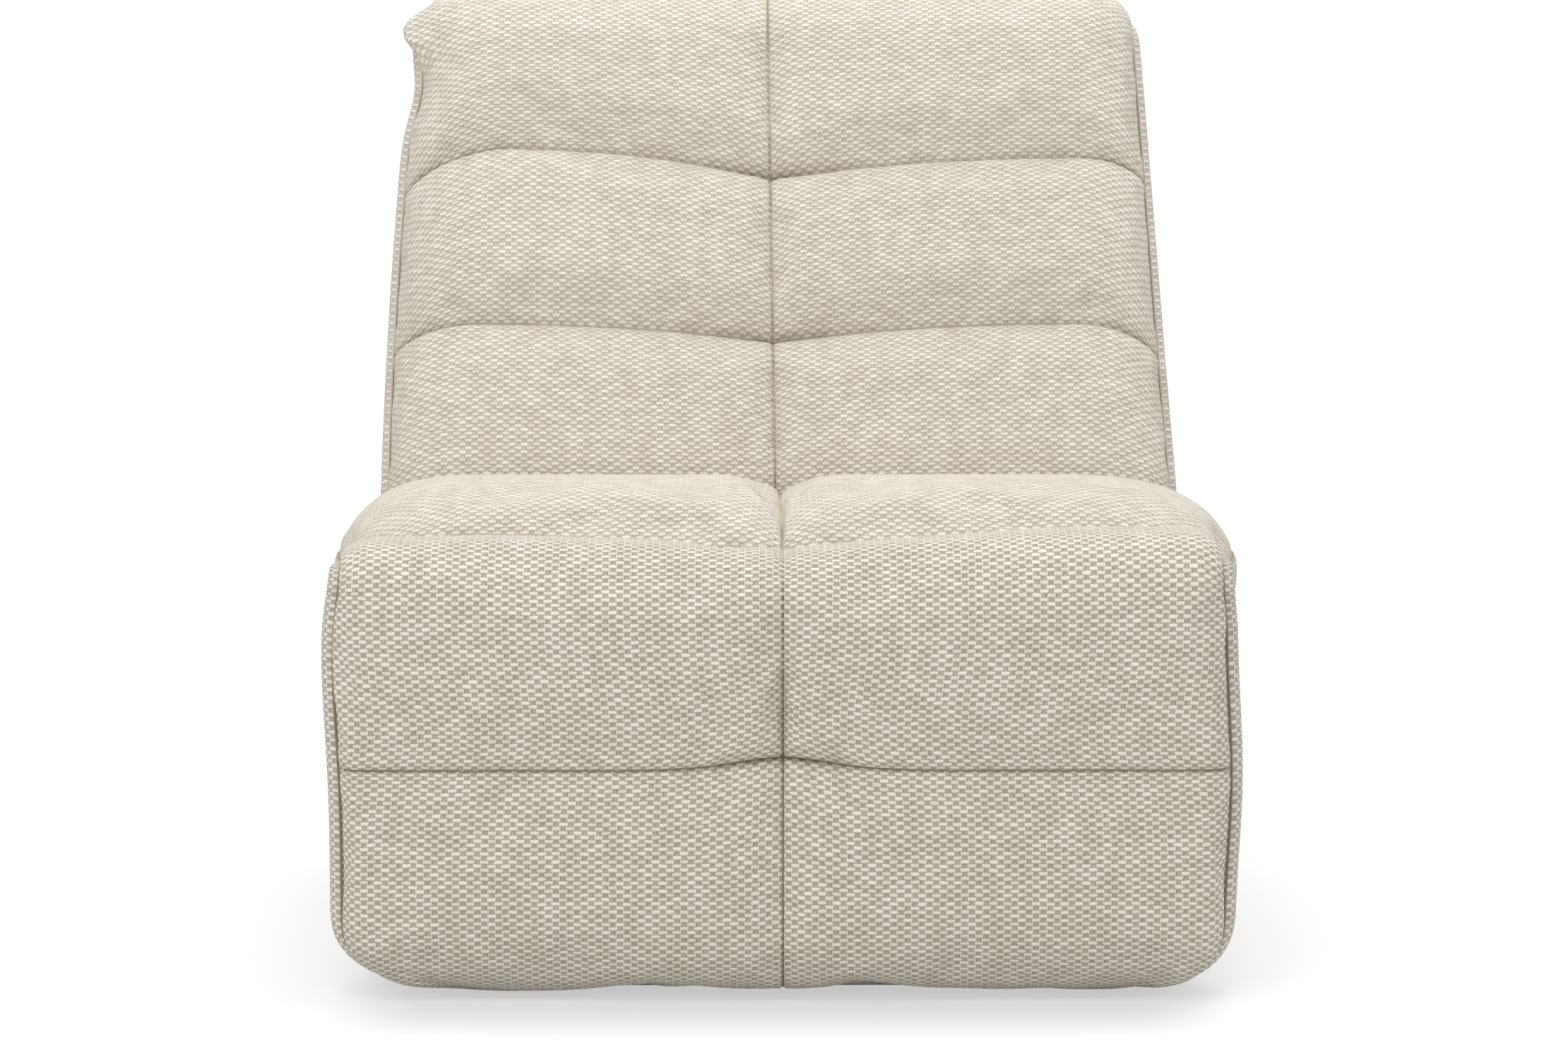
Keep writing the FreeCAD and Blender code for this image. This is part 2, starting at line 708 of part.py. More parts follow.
def line(start, end):
    return Part.LineSegment(start, end).toShape()


def loft_pair(sections):
    half = Part.makeLoft(sections, True, False)
    pair = half.fuse(half.mirror(Vector(0, 0, 0), Vector(1, 0, 0))).removeSplitter()
    return pair.Solids[0]


def soft_piece(label, shape):
    item = doc.addObject("Part::Feature", label)
    item.Shape = shape
    return keep(item, label)


# Stations across half the chair: share of the half width and fullness of the padding there
STATIONS = ((0.0, 0.78), (0.14, 0.95), (0.5, 1.0), (0.84, 0.96), (0.965, 0.82), (1.0, 0.62))
# The smooth loft swells a little past its stations; these shares keep the crowns at their set height
SEAT_SWELL = 1.147
LEGREST_SWELL = 1.053
# Seat: how far the front draws in where it is thin, where the crown is highest, the foot under the back
SEAT_DRAW = 12
SEAT_ROLL = 30
SEAT_CROWN_AT = 110
SEAT_DIP_AT = 90
SEAT_REAR_ROLL = 20
SEAT_FOOT_REACH = 34
SEAT_FOOT_EDGE = 8
# Legrest: where the corners start to round, how far they fall and rise, roll sizes and seam depth
CORNER_START = 0.8
LEGREST_DRAW = 10
CORNER_FALL = 10
CORNER_LIFT = 42
LEGREST_SEAM_RISE = 4
LEGREST_SEAM_DEPTH = 0.84
LEGREST_EDGE = 14
LEGREST_ROLL = 26
LEGREST_ROLL_DEPTH = 0.82
# Back: roll sizes, seam depth and the small shifts of the fullest points of the rows
BACK_DRAW = 16
BACK_SEAM_DEPTH = 0.8
BACK_EDGE_LOW = 10
BACK_EDGE_HIGH = 24
BACK_ROLL_LOW = 20
BACK_ROLL_HIGH = 42
BACK_FULL_LOW = 6
BACK_FULL_HIGH = 10


def seat_section(x, fullness):
    """Side view of the seat cushion: rounded front, long crown, and a foot that reaches under the back."""
    bottom = value(CUSHION_BOTTOM)
    thickness = (value("Dims.seat_crown") - bottom) * fullness / SEAT_SWELL
    front = value(SEAT_FRONT) + (1 - fullness) * SEAT_DRAW
    rear = value(SEAT_REAR)
    foot_rear = rear + SEAT_FOOT_REACH

    def at(along, share):
        return Vector(x, along, bottom + share * thickness)

    low_front = at(front, 0)
    shoulder = at(front, 0.5)
    crown = at(front + SEAT_CROWN_AT, 1.0)
    rear_top = at(rear - SEAT_REAR_ROLL, 0.78)
    rear_low = at(rear, 0.4)
    foot_top = Vector(x, foot_rear, bottom + SEAT_FOOT_EDGE)
    foot_low = Vector(x, foot_rear, bottom)
    edges = [
        line(low_front, shoulder),
        arc(shoulder, at(front + SEAT_ROLL, 0.88), crown),
        arc(crown, at((front + rear) / 2 + SEAT_DIP_AT, 0.97), rear_top),
        arc(rear_top, at(rear - SEAT_REAR_ROLL / 5, 0.62), rear_low),
        line(rear_low, foot_top),
        line(foot_top, foot_low),
        line(foot_low, low_front),
    ]
    return Part.Wire(edges)


seat_half = value(HALF_WIDTH)
soft_piece("seat_cushion", loft_pair([seat_section(share * seat_half, full) for share, full in STATIONS]))


def legrest_section(x, share, fullness):
    """Side view of the legrest pad: top roll, two pillows with a sewn groove between them, bottom roll."""
    back = value(f"{BOARD_BACK} - Dims.legrest_board - Dims.soft_gap")
    depth = value("Dims.legrest_pad - Dims.soft_gap") * fullness / LEGREST_SWELL
    corner = max(0, share - CORNER_START) / (1 - CORNER_START)
    top = value("Dims.legrest_top") - LEGREST_DRAW * (1 - fullness) - CORNER_FALL * corner
    bottom = value("Dims.legrest_bottom") + LEGREST_DRAW * (1 - fullness) + CORNER_LIFT * corner ** 3
    middle = (top + bottom) / 2 + LEGREST_SEAM_RISE
    seam = LEGREST_SEAM_DEPTH * depth
    roll = LEGREST_ROLL_DEPTH * depth
    roll_high = top - LEGREST_ROLL
    roll_low = bottom + LEGREST_ROLL

    def at(reach, up):
        return Vector(x, back - reach, up)

    edges = [
        line(at(0, bottom + LEGREST_EDGE), at(0, top - LEGREST_EDGE)),
        arc(at(0, top - LEGREST_EDGE), at(roll / 2, top), at(roll, roll_high)),
        arc(at(roll, roll_high), at(depth, (top + middle) / 2), at(seam, middle)),
        arc(at(seam, middle), at(depth, (bottom + middle) / 2), at(roll, roll_low)),
        arc(at(roll, roll_low), at(roll / 2, bottom), at(0, bottom + LEGREST_EDGE)),
    ]
    return Part.Wire(edges)


legrest_sections = [legrest_section(share * seat_half, share, full) for share, full in STATIONS]
soft_piece("legrest_pad", loft_pair(legrest_sections))


def back_section(share, fullness):
    """Side view of the back cushion in its leaning frame: three pillows with sewn grooves and a top roll."""
    back = value("Dims.frame_front - Dims.soft_gap")
    depth = (value("Dims.back_front") + back) * fullness
    low = value("Dims.back_start")
    row = value("Dims.back_row")
    high = value(BACK_TOP) - BACK_DRAW * (1 - fullness)
    taper = value("Dims.back_taper")
    half = value(HALF_WIDTH)
    groove = BACK_SEAM_DEPTH * depth
    seams = (low + row, low + 2 * row)
    top_full = (high + seams[1]) / 2 - BACK_FULL_HIGH
    low_full = (low + seams[0]) / 2 + BACK_FULL_LOW

    def at(reach, rise):
        width = half * (1 - taper * (rise - low) / (high - low))
        return Vector(share * width, back - reach, rise)

    edges = [
        line(at(0, low + BACK_EDGE_LOW), at(0, high - BACK_EDGE_HIGH)),
        arc(at(0, high - BACK_EDGE_HIGH), at(0.45 * depth, high), at(0.86 * depth, high - BACK_ROLL_HIGH)),
        arc(at(0.86 * depth, high - BACK_ROLL_HIGH), at(depth, top_full), at(groove, seams[1])),
        arc(at(groove, seams[1]), at(depth, (seams[0] + seams[1]) / 2), at(groove, seams[0])),
        arc(at(groove, seams[0]), at(depth, low_full), at(0.84 * depth, low + BACK_ROLL_LOW)),
        arc(at(0.84 * depth, low + BACK_ROLL_LOW), at(0.42 * depth, low), at(0, low + BACK_EDGE_LOW)),
    ]
    return Part.Wire(edges)


back_cushion = soft_piece("back_cushion", loft_pair([back_section(share, full) for share, full in STATIONS]))
place(back_cushion, "0", BACK_PIVOT[0], BACK_PIVOT[1], turn="-Dims.back_lean")


# Back frame: posts, rails, webbing, hinge brackets

POST_IN = layer_out(REAR_LINK_LAYER)
frame_depth = ("Dims.frame_front", "Dims.frame_depth")
post_top = f"({SHELL_TOP} - Dims.shell_edge - Dims.post_drop)"
for side_name, side in SIDES:
    start = POST_IN if side > 0 else f"-({POST_IN} + Dims.post_width)"
    post = leaning_box(
        f"back_post_{side_name}",
        (start, "Dims.post_width"),
        frame_depth,
        ("Dims.back_start", f"{post_top} - Dims.back_start"),
    )
    keep(post, f"back_post_{side_name}")

between_posts = (f"-{POST_IN}", f"2 * {POST_IN}")
between_brackets = (f"-{layer_in(REAR_LINK_LAYER)}", f"2 * {layer_in(REAR_LINK_LAYER)}")
middle_rail = f"((Dims.back_start + {post_top} - Dims.back_rail_height) / 2)"
back_rails = (
    ("back_bottom_rail", between_brackets, "Dims.back_start"),
    ("back_middle_rail", between_posts, middle_rail),
    ("back_top_rail", between_posts, f"({post_top} - Dims.back_rail_height)"),
)
for label, across, rise in back_rails:
    keep(leaning_box(label, across, frame_depth, (rise, "Dims.back_rail_height")), label)

straps = []
strap_depth = ("Dims.frame_front + Dims.strap_setback", "Dims.strap_thickness")
strap_rises = (
    "Dims.back_start + Dims.back_rail_height + Dims.strap_low_gap",
    f"{middle_rail} - Dims.strap_middle_gap - Dims.strap_height",
    f"{middle_rail} + Dims.back_rail_height + Dims.strap_middle_gap",
    f"{post_top} - Dims.back_rail_height - Dims.strap_high_gap - Dims.strap_height",
)
for number, rise in enumerate(strap_rises):
    straps.append(leaning_box(f"strap_{number}", between_posts, strap_depth, (rise, "Dims.strap_height")))
group("back_webbing", straps)

arm_front = "Dims.frame_front + Dims.hinge_arm_play"
arm_back = f"{FRAME_BACK} - Dims.hinge_arm_play"
bracket_arm = [
    leaning("-Dims.hinge_arm_front", "-Dims.hinge_arm_drop / 2"),
    leaning("Dims.hinge_arm_front", "-Dims.hinge_arm_drop"),
    leaning(arm_back, "Dims.back_start - Dims.hinge_arm_drop / 2"),
    leaning(arm_back, "Dims.hinge_arm_top"),
    leaning(arm_front, "Dims.hinge_arm_top"),
    leaning(arm_front, "Dims.back_start - Dims.hinge_arm_drop"),
]
arm_middle = "Dims.frame_front + Dims.frame_depth / 2"
bracket_bolt_points = [leaning(arm_middle, rise) for rise in ("Dims.hinge_bolt_low", "Dims.hinge_bolt_high")]
for side_name, side in SIDES:
    steel_plate(
        f"back_bracket_{side_name}",
        [bracket_arm, (BACK_PIVOT, ROD_REAR, "Dims.link_half + Dims.hinge_arm_rim")],
        [(BACK_PIVOT, TURNING_HOLE), (ROD_REAR, FIT_HOLE)]
        + [(point, "Dims.bolt_radius") for point in bracket_bolt_points],
        [],
        "Dims.link_thickness",
        layer_in(REAR_LINK_LAYER),
        layer_out(REAR_LINK_LAYER),
        side,
    )
bracket_bolt_tip = f"({POST_IN} + Dims.bracket_bolt_reach)"
screws("bracket_bolts", layer_in(REAR_LINK_LAYER), f"-{HEAD}", bracket_bolt_tip, bracket_bolt_points)
pins("rod_rear_pins", "Dims.pin_radius", layer_in(REAR_LINK_LAYER), layer_out(ROD_LAYER), [ROD_REAR])


# Outer back cover: a tapered tray that closes the back and the sides of the frame

def shell_outline(edge, bottom):
    low_half = f"({HALF_WIDTH} - Dims.shell_inset - {edge})"
    high_half = f"(({HALF_WIDTH} - Dims.shell_inset) * (1 - Dims.back_taper) - {edge})"
    top = f"({SHELL_TOP} - {edge})"
    return [(f"-{low_half}", bottom), (low_half, bottom), (high_half, top), (f"-{high_half}", top)]


shell = doc.addObject("PartDesign::Body", "outer_back_cover")
shell_sketch = new_sketch(shell, "XZ_Plane", "cover_outline")
draw_polygon(shell_sketch, shell_outline("0", "Dims.back_start"))
shell_pad = shell.newObject("PartDesign::Pad", "cover_pad")
shell_pad.Profile = shell_sketch
shell_pad.Reversed = True
shell_pad.setExpression("Length", "Dims.frame_depth + Dims.shell_wall")
doc.recompute()
REAR_FACE = value("Dims.frame_depth + Dims.shell_wall")
rear_edges = []
for number, edge in enumerate(shell_pad.Shape.Edges, start=1):
    ends = [vertex.Point for vertex in edge.Vertexes]
    on_rear = all(abs(point.y - REAR_FACE) < 0.01 for point in ends)
    at_bottom = all(abs(point.z - value("Dims.back_start")) < 0.01 for point in ends)
    if on_rear and not at_bottom:
        rear_edges.append(f"Edge{number}")
shell_round = shell.newObject("PartDesign::Fillet", "cover_round")
shell_round.Base = (shell_pad, rear_edges)
shell_round.setExpression("Radius", "Dims.shell_round")
doc.recompute()
full_volume = shell_round.Shape.Volume
hollow_sketch = new_sketch(shell, "XZ_Plane", "cover_hollow_outline")
draw_polygon(hollow_sketch, shell_outline("Dims.shell_edge", "(Dims.back_start - Dims.shell_edge)"))
hollow = shell.newObject("PartDesign::Pocket", "cover_hollow")
hollow.Profile = hollow_sketch
hollow.setExpression("Length", "Dims.frame_depth")
doc.recompute()
if hollow.Shape.Volume >= full_volume:
    raise RuntimeError("the hollow of the outer back cover did not cut")
cover_corner = leaning("Dims.frame_front", "0")
place(shell, "0", cover_corner[0], cover_corner[1], turn="-Dims.back_lean")
keep(shell, "outer_back_cover")


# Legrest linkage: crossed links, control links, push rods

for side_name, side in SIDES:
    steel_plate(
        f"rear_link_{side_name}",
        [(MAIN_PIVOT, CONTROL_LOW, "Dims.link_half")],
        [
            (MAIN_PIVOT, TURNING_HOLE),
            (SPRING_POINT, FIT_HOLE),
            (ROD_FRONT, TURNING_HOLE),
            (CROSS_PIVOT, FIT_HOLE),
            (CONTROL_LOW, FIT_HOLE),
        ],
        [],
        "Dims.link_thickness",
        layer_in(REAR_LINK_LAYER),
        layer_out(REAR_LINK_LAYER),
        side,
    )
    steel_plate(
        f"front_link_{side_name}",
        [(LEGREST_PIVOT, SLOT_LOW, "Dims.link_half")],
        [(LEGREST_PIVOT, TURNING_HOLE), (CROSS_PIVOT, TURNING_HOLE), (SLOT_LOW, FIT_HOLE)],
        [],
        "Dims.link_thickness",
        layer_in(FRONT_LINK_LAYER),
        layer_out(FRONT_LINK_LAYER),
        side,
    )
    steel_plate(
        f"control_link_{side_name}",
        [(CONTROL_LOW, CONTROL_HIGH, "Dims.control_hole + Dims.control_rim")],
        [(CONTROL_LOW, TURNING_HOLE), (CONTROL_HIGH, "Dims.control_hole")],
        [],
        "Dims.link_thickness",
        layer_in(CONTROL_LAYER),
        layer_out(CONTROL_LAYER),
        side,
    )
    steel_plate(
        f"push_rod_{side_name}",
        [(ROD_FRONT, ROD_REAR, "Dims.link_half")],
        [(ROD_FRONT, FIT_HOLE), (ROD_REAR, TURNING_HOLE)],
        [],
        "Dims.link_thickness",
        layer_in(ROD_LAYER),
        layer_out(ROD_LAYER),
        side,
    )

tube = ring(
    "torque_tube",
    "Dims.tube_radius",
    "(Dims.tube_radius - Dims.tube_wall)",
    f"-{layer_in(REAR_LINK_LAYER)}",
    layer_in(REAR_LINK_LAYER),
    MAIN_PIVOT,
)
keep(tube, "torque_tube")
pins("cross_pins", "Dims.pin_radius", layer_in(FRONT_LINK_LAYER), layer_out(REAR_LINK_LAYER), [CROSS_PIVOT])
pins("control_low_pins", "Dims.pin_radius", layer_in(CONTROL_LAYER), layer_out(REAR_LINK_LAYER), [CONTROL_LOW])
pins("rod_front_pins", "Dims.pin_radius", layer_in(REAR_LINK_LAYER), layer_out(ROD_LAYER), [ROD_FRONT])
pins("spring_pins", "Dims.pin_radius", SPRING_LAYER, layer_out(REAR_LINK_LAYER), [SPRING_POINT])
pins("slot_pins", "Dims.pin_radius", layer_in(FRONT_LINK_LAYER), RAIL_IN, [SLOT_LOW])
rollers = both_sides(
    "slot_roller",
    lambda n, a, b: ring(n, "Dims.roller_radius", "Dims.pin_radius", a, b, SLOT_LOW),
    PLATE_IN,
    RAIL_IN,
)
group("slot_rollers", rollers)
pins("legrest_pins", "Dims.pin_radius", layer_in(BRACKET_LAYER), layer_out(FRONT_LINK_LAYER), [LEGREST_PIVOT])
pins("control_high_pins", "Dims.control_pin", layer_in(BRACKET_LAYER), layer_out(CONTROL_LAYER), [CONTROL_PIN])


# Legrest board and its brackets

board_width = f"({HALF_WIDTH} - Dims.board_margin)"
board = box(
    "legrest_board",
    (f"-{board_width}", f"2 * {board_width}"),
    (f"{BOARD_BACK} - Dims.legrest_board", "Dims.legrest_board"),
    (
        "Dims.legrest_bottom + Dims.board_margin",
        "Dims.legrest_top - Dims.legrest_bottom - 2 * Dims.board_margin",
    ),
)
keep(board, "legrest_board")

bracket_high = f"({LEGREST_PIVOT[1]} + Dims.bracket_rise)"
bracket_low = f"({LEGREST_PIVOT[1]} - Dims.bracket_fall)"
control_rear = f"({CONTROL_PIN[0]} + Dims.control_edge)"
bracket_outline = [
    (BOARD_BACK, bracket_low),
    (control_rear, f"({CONTROL_PIN[1]} - Dims.control_edge)"),
    (control_rear, f"({CONTROL_PIN[1]} + Dims.bracket_edge)"),
    (f"({LEGREST_PIVOT[0]} + Dims.bracket_edge)", bracket_high),
    (BOARD_BACK, bracket_high),
]
FLANGE_IN = f"({layer_in(BRACKET_LAYER)} - Dims.flange_width)"
for side_name, side in SIDES:
    label = f"legrest_bracket_{side_name}"
    steel_plate(
        label,
        [bracket_outline],
        [(LEGREST_PIVOT, FIT_HOLE), (CONTROL_PIN, "Dims.control_pin")],
        [],
        "Dims.link_thickness",
        layer_in(BRACKET_LAYER),
        layer_out(BRACKET_LAYER),
        side,
    )
    start = FLANGE_IN if side > 0 else f"-{layer_in(BRACKET_LAYER)}"
    flange = box(
        f"legrest_flange_{side_name}",
        (start, "Dims.flange_width"),
        (BOARD_BACK, "Dims.flange_thickness"),
        (bracket_low, f"{bracket_high} - {bracket_low}"),
    )
    whole = doc.addObject("Part::MultiFuse", f"legrest_bracket_whole_{side_name}")
    whole.Shapes = [finished.pop(), flange]
    whole.Shapes[0].Label = f"legrest_ear_{side_name}"
    keep(whole, label)

board_screws = []
head_rear = f"({BOARD_BACK} + Dims.flange_thickness + Dims.flange_screw_head)"
for side_name, side in SIDES:
    for height_name in ("low", "high"):
        head = doc.addObject("Part::Cylinder", f"board_screw_{side_name}_{height_name}")
        head.setExpression("Radius", "Dims.flange_screw_radius")
        head.setExpression("Height", "Dims.flange_screw_head")
        screw_across = f"{side} * ({FLANGE_IN} + Dims.flange_width / 2)"
        place(head, screw_across, head_rear, f"{bracket_low} + Dims.flange_screw_{height_name}", turn="90")
        board_screws.append(head)
group("board_screw_heads", board_screws)


# Return springs: a closed coil with a hook at each end

def return_spring(x):
    start = Vector(x, value(SPRING_POINT[0]), value(SPRING_POINT[1]))
    end = Vector(x, value(SPRING_ANCHOR[0]), value(SPRING_ANCHOR[1]))
    hook_inner = value("Dims.pin_radius + Dims.hook_play")
    hook_wire = value("Dims.hook_wire")
    coil = value("Dims.spring_radius")
    wall = value("Dims.spring_wall")
    margin = hook_inner + hook_wire / 2
    length = (end - start).Length - 2 * margin
    along = (end - start).normalize()
    outside = Part.makeCylinder(coil, length, start + along * margin, along)
    inside = Part.makeCylinder(coil - wall, length - 2 * wall, start + along * (margin + wall), along)
    body = outside.cut(inside)
    for point in (start, end):
        body = body.fuse(Part.makeTorus(hook_inner + hook_wire, hook_wire, point, Vector(1, 0, 0)))
    return body


for side_name, side in SIDES:
    spring = doc.addObject("Part::Feature", f"return_spring_{side_name}")
    spring.Shape = return_spring(side * value(f"{SPRING_LAYER} + Dims.spring_pin_end"))
    keep(spring, f"return_spring_{side_name}")


# Check every object, then write one file for each piece

doc.recompute()
for item in doc.Objects:
    if "Invalid" in item.State or "Error" in item.State:
        raise RuntimeError(f"{item.Label} did not build: {item.State}")
os.makedirs("parts", exist_ok=True)
for item in finished:
    if item.Shape.isNull() or not item.Shape.isValid():
        raise RuntimeError(f"{item.Label} has no valid shape")
    item.Shape.exportStep(f"parts/{item.Label}.step")
print(len(finished), "pieces written")
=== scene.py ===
import json
import math
from collections import namedtuple

import bpy
import numpy as np
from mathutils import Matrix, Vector


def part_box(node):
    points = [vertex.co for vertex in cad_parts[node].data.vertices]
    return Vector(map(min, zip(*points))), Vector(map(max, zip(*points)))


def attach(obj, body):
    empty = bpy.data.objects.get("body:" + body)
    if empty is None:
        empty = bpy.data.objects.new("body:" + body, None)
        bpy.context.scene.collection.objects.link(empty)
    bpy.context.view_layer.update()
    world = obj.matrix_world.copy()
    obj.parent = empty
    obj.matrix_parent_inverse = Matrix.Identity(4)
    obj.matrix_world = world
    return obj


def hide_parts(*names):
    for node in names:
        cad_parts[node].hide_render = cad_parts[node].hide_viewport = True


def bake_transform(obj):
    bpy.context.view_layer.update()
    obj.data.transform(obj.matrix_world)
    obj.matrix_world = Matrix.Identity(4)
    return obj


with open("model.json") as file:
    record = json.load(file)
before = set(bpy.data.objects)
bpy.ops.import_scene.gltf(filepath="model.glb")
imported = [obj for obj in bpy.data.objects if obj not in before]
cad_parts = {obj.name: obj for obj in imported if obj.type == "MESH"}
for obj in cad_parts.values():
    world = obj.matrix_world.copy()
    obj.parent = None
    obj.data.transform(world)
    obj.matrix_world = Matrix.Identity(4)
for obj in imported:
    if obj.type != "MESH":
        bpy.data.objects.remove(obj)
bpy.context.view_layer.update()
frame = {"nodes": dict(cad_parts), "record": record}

# Camera of the photograph
PHOTO_WIDTH = 2220
PHOTO_FOCAL = 6594
SENSOR_WIDTH = 36.0
CAMERA_AT = (-0.020, -4.62, 0.82)
CAMERA_PITCH = 5.36
CAMERA_YAW = 0.29

# Leaning frame of the back: hinge in the side view and lean
BACK_PIVOT = (0.22419, 0.325)
BACK_LEAN = math.radians(24)

# Meshes: points along a rounded corner, and steps in a metre within which points count as one
ARC_POINTS = 13
WELD_STEPS = 1e5

# A direction that no cord starts along
ASKEW = (0.31, 0.52, 0.79)

# Boxing strip: rows, gap for its full bulge, roundness, fullness in front and loss toward the rear
STRIP_ROWS = 13
STRIP_FULL_GAP = 0.05
STRIP_ROUND = 0.6
STRIP_FRONT = 1.25
STRIP_LOSS = 0.5

# Filling of a cover: pressure, share of spare cloth, and frames that it takes
FILL_PRESSURE = 0.5
FILL_SPARE = 0.010
FILL_FRAMES = 20


# Small helpers for shapes

def unit(vectors):
    return vectors / (np.linalg.norm(vectors, axis=-1, keepdims=True) + 1e-12)


def round_edge(distance, radius):
    """0 at a seam, 1 from one radius away on, along a quarter circle."""
    share = 1 - np.clip(np.abs(distance) / radius, 0, 1)
    return np.sqrt(1 - share * share)


def smooth(share):
    share = np.clip(share, 0, 1)
    return share * share * (3 - 2 * share)


def hill(distance, spread):
    """1 at no distance, falling off smoothly on both sides."""
    return np.exp(-(distance / spread) ** 2)


def graded(stops, step, grading=0.55):
    """Places from the first stop to the last, closer together near every stop."""
    places = [stops[0]]
    for low, high in zip(stops, stops[1:]):
        count = max(4, round((high - low) / step))
        share = np.arange(1, count + 1) / count
        share = share - grading * np.sin(2 * math.pi * share) / (2 * math.pi)
        places.extend(low + (high - low) * share)
    return np.array(places)


def rounded_path(corners):
    """Close points of a side view through corners (across, up, radius) with straight runs and arcs."""
    points = [np.array(corners[0][:2])]
    for before, corner, after in zip(corners, corners[1:], corners[2:]):
        at = np.array(corner[:2])
        back = np.array(before[:2]) - at
        ahead = np.array(after[:2]) - at
        back = back / np.linalg.norm(back)
        ahead = ahead / np.linalg.norm(ahead)
        half = math.acos(np.clip(back @ ahead, -1, 1)) / 2
        middle = (back + ahead) / np.linalg.norm(back + ahead)
        centre = at + middle * corner[2] / math.sin(half)
        start = at + back * corner[2] / math.tan(half) - centre
        end = at + ahead * corner[2] / math.tan(half) - centre
        sweep = math.pi - 2 * half
        for share in np.linspace(0, 1, ARC_POINTS):
            mixed = start * math.sin((1 - share) * sweep) + end * math.sin(share * sweep)
            points.append(centre + mixed / math.sin(sweep))
    points.append(np.array(corners[-1][:2]))
    return np.array(points)


def path_lengths(path):
    return np.concatenate([[0], np.cumsum(np.linalg.norm(np.diff(path, axis=0), axis=1))])


def on_path(path, lengths):
    """Points of a path at these lengths, and the outward normals there."""
    known = path_lengths(path)

    def at(place):
        return np.stack([np.interp(place, known, path[:, axis]) for axis in (0, 1)], axis=-1)

    reach = 0.004
    tangent = at(np.clip(lengths + reach, 0, known[-1])) - at(np.clip(lengths - reach, 0, known[-1]))
    tangent = tangent / np.linalg.norm(tangent, axis=-1, keepdims=True)
    normal = np.stack([-tangent[..., 1], tangent[..., 0]], axis=-1)
    return at(lengths), normal


def resampled(path, step):
    """The same path with points at even steps."""
    known = path_lengths(path)
    along = np.linspace(0, known[-1], max(3, round(known[-1] / step)))
    return np.stack([np.interp(along, known, path[:, axis]) for axis in range(3)], axis=-1)


def lean(points):
    """Points (x, depth, rise) of the back's leaning frame, in the chair's frame."""
    x, depth, rise = points[..., 0], points[..., 1], points[..., 2]
    y = BACK_PIVOT[0] + depth * math.cos(BACK_LEAN) + rise * math.sin(BACK_LEAN)
    z = BACK_PIVOT[1] - depth * math.sin(BACK_LEAN) + rise * math.cos(BACK_LEAN)
    return np.stack([x, y, z], axis=-1)


# Covers: panels of cloth sewn together at their borders

Panel = namedtuple("Panel", "points flat held seam_rows seam_columns")
# First and last row or column of a panel
EDGES = [0, -1]


def nearest(places, target):
    return int(np.argmin(np.abs(np.asarray(places) - target)))


def over_grid(rows, columns):
    """The row's value and the column's value at every point of a grid."""
    return np.broadcast_arrays(rows[:, None], columns[None, :])


def length_at(path, top, rise):
    """Length along a path at which its climb to the top reaches a rise."""
    climb = slice(0, nearest(path[:, 1], top) + 1)
    return float(np.interp(rise, path[climb, 1], path_lengths(path)[climb]))


def strip(front, rear, outward, count=STRIP_ROWS):
    """A boxing strip between two borders, bulged outward by the given steps."""
    share = np.linspace(0, 1, count)[:, None, None]
    gap = np.linalg.norm(rear - front, axis=1)
    swell = smooth(gap / STRIP_FULL_GAP)
    arch = (4 * share * (1 - share)) ** STRIP_ROUND * (STRIP_FRONT - STRIP_LOSS * share)
    points = front + (rear - front) * share + outward * swell[:, None] * arch
    along = path_lengths(front)
    flat = np.stack(np.broadcast_arrays(share[..., 0] * gap, along[None, :]), axis=-1)
    return Panel(points, flat, np.ones(points.shape[:2], bool), EDGES, [])


def loose(points, flat):
    """A panel that is held nowhere and has no seams."""
    return Panel(points, flat, np.zeros(points.shape[:2], bool), [], [])


def tube(path, radius, sides):
    """A round cord along close points, with rounded ends; its weave runs on the bias."""
    ahead = unit(np.gradient(path, axis=0))
    side = unit(np.cross(ahead[0], ASKEW))
    across = []
    for direction in ahead:
        side = unit(side - direction * (side @ direction))
        across.append(side)
    across = np.array(across)[:, None]
    upward = np.cross(ahead[:, None], across)
    lengths = path_lengths(path)
    thick = radius * round_edge(np.minimum(lengths, lengths[-1] - lengths), radius)
    angle = np.linspace(0, 2 * math.pi, sides + 1)[None, :, None]
    points = path[:, None] + thick[:, None, None] * (across * np.cos(angle) + upward * np.sin(angle))
    points[:, -1] = points[:, 0]
    around, along = np.broadcast_arrays(angle[..., 0] * radius, lengths[:, None])
    flat = np.stack([along + around, along - around], axis=-1) * math.sqrt(0.5)
    return loose(points, flat)


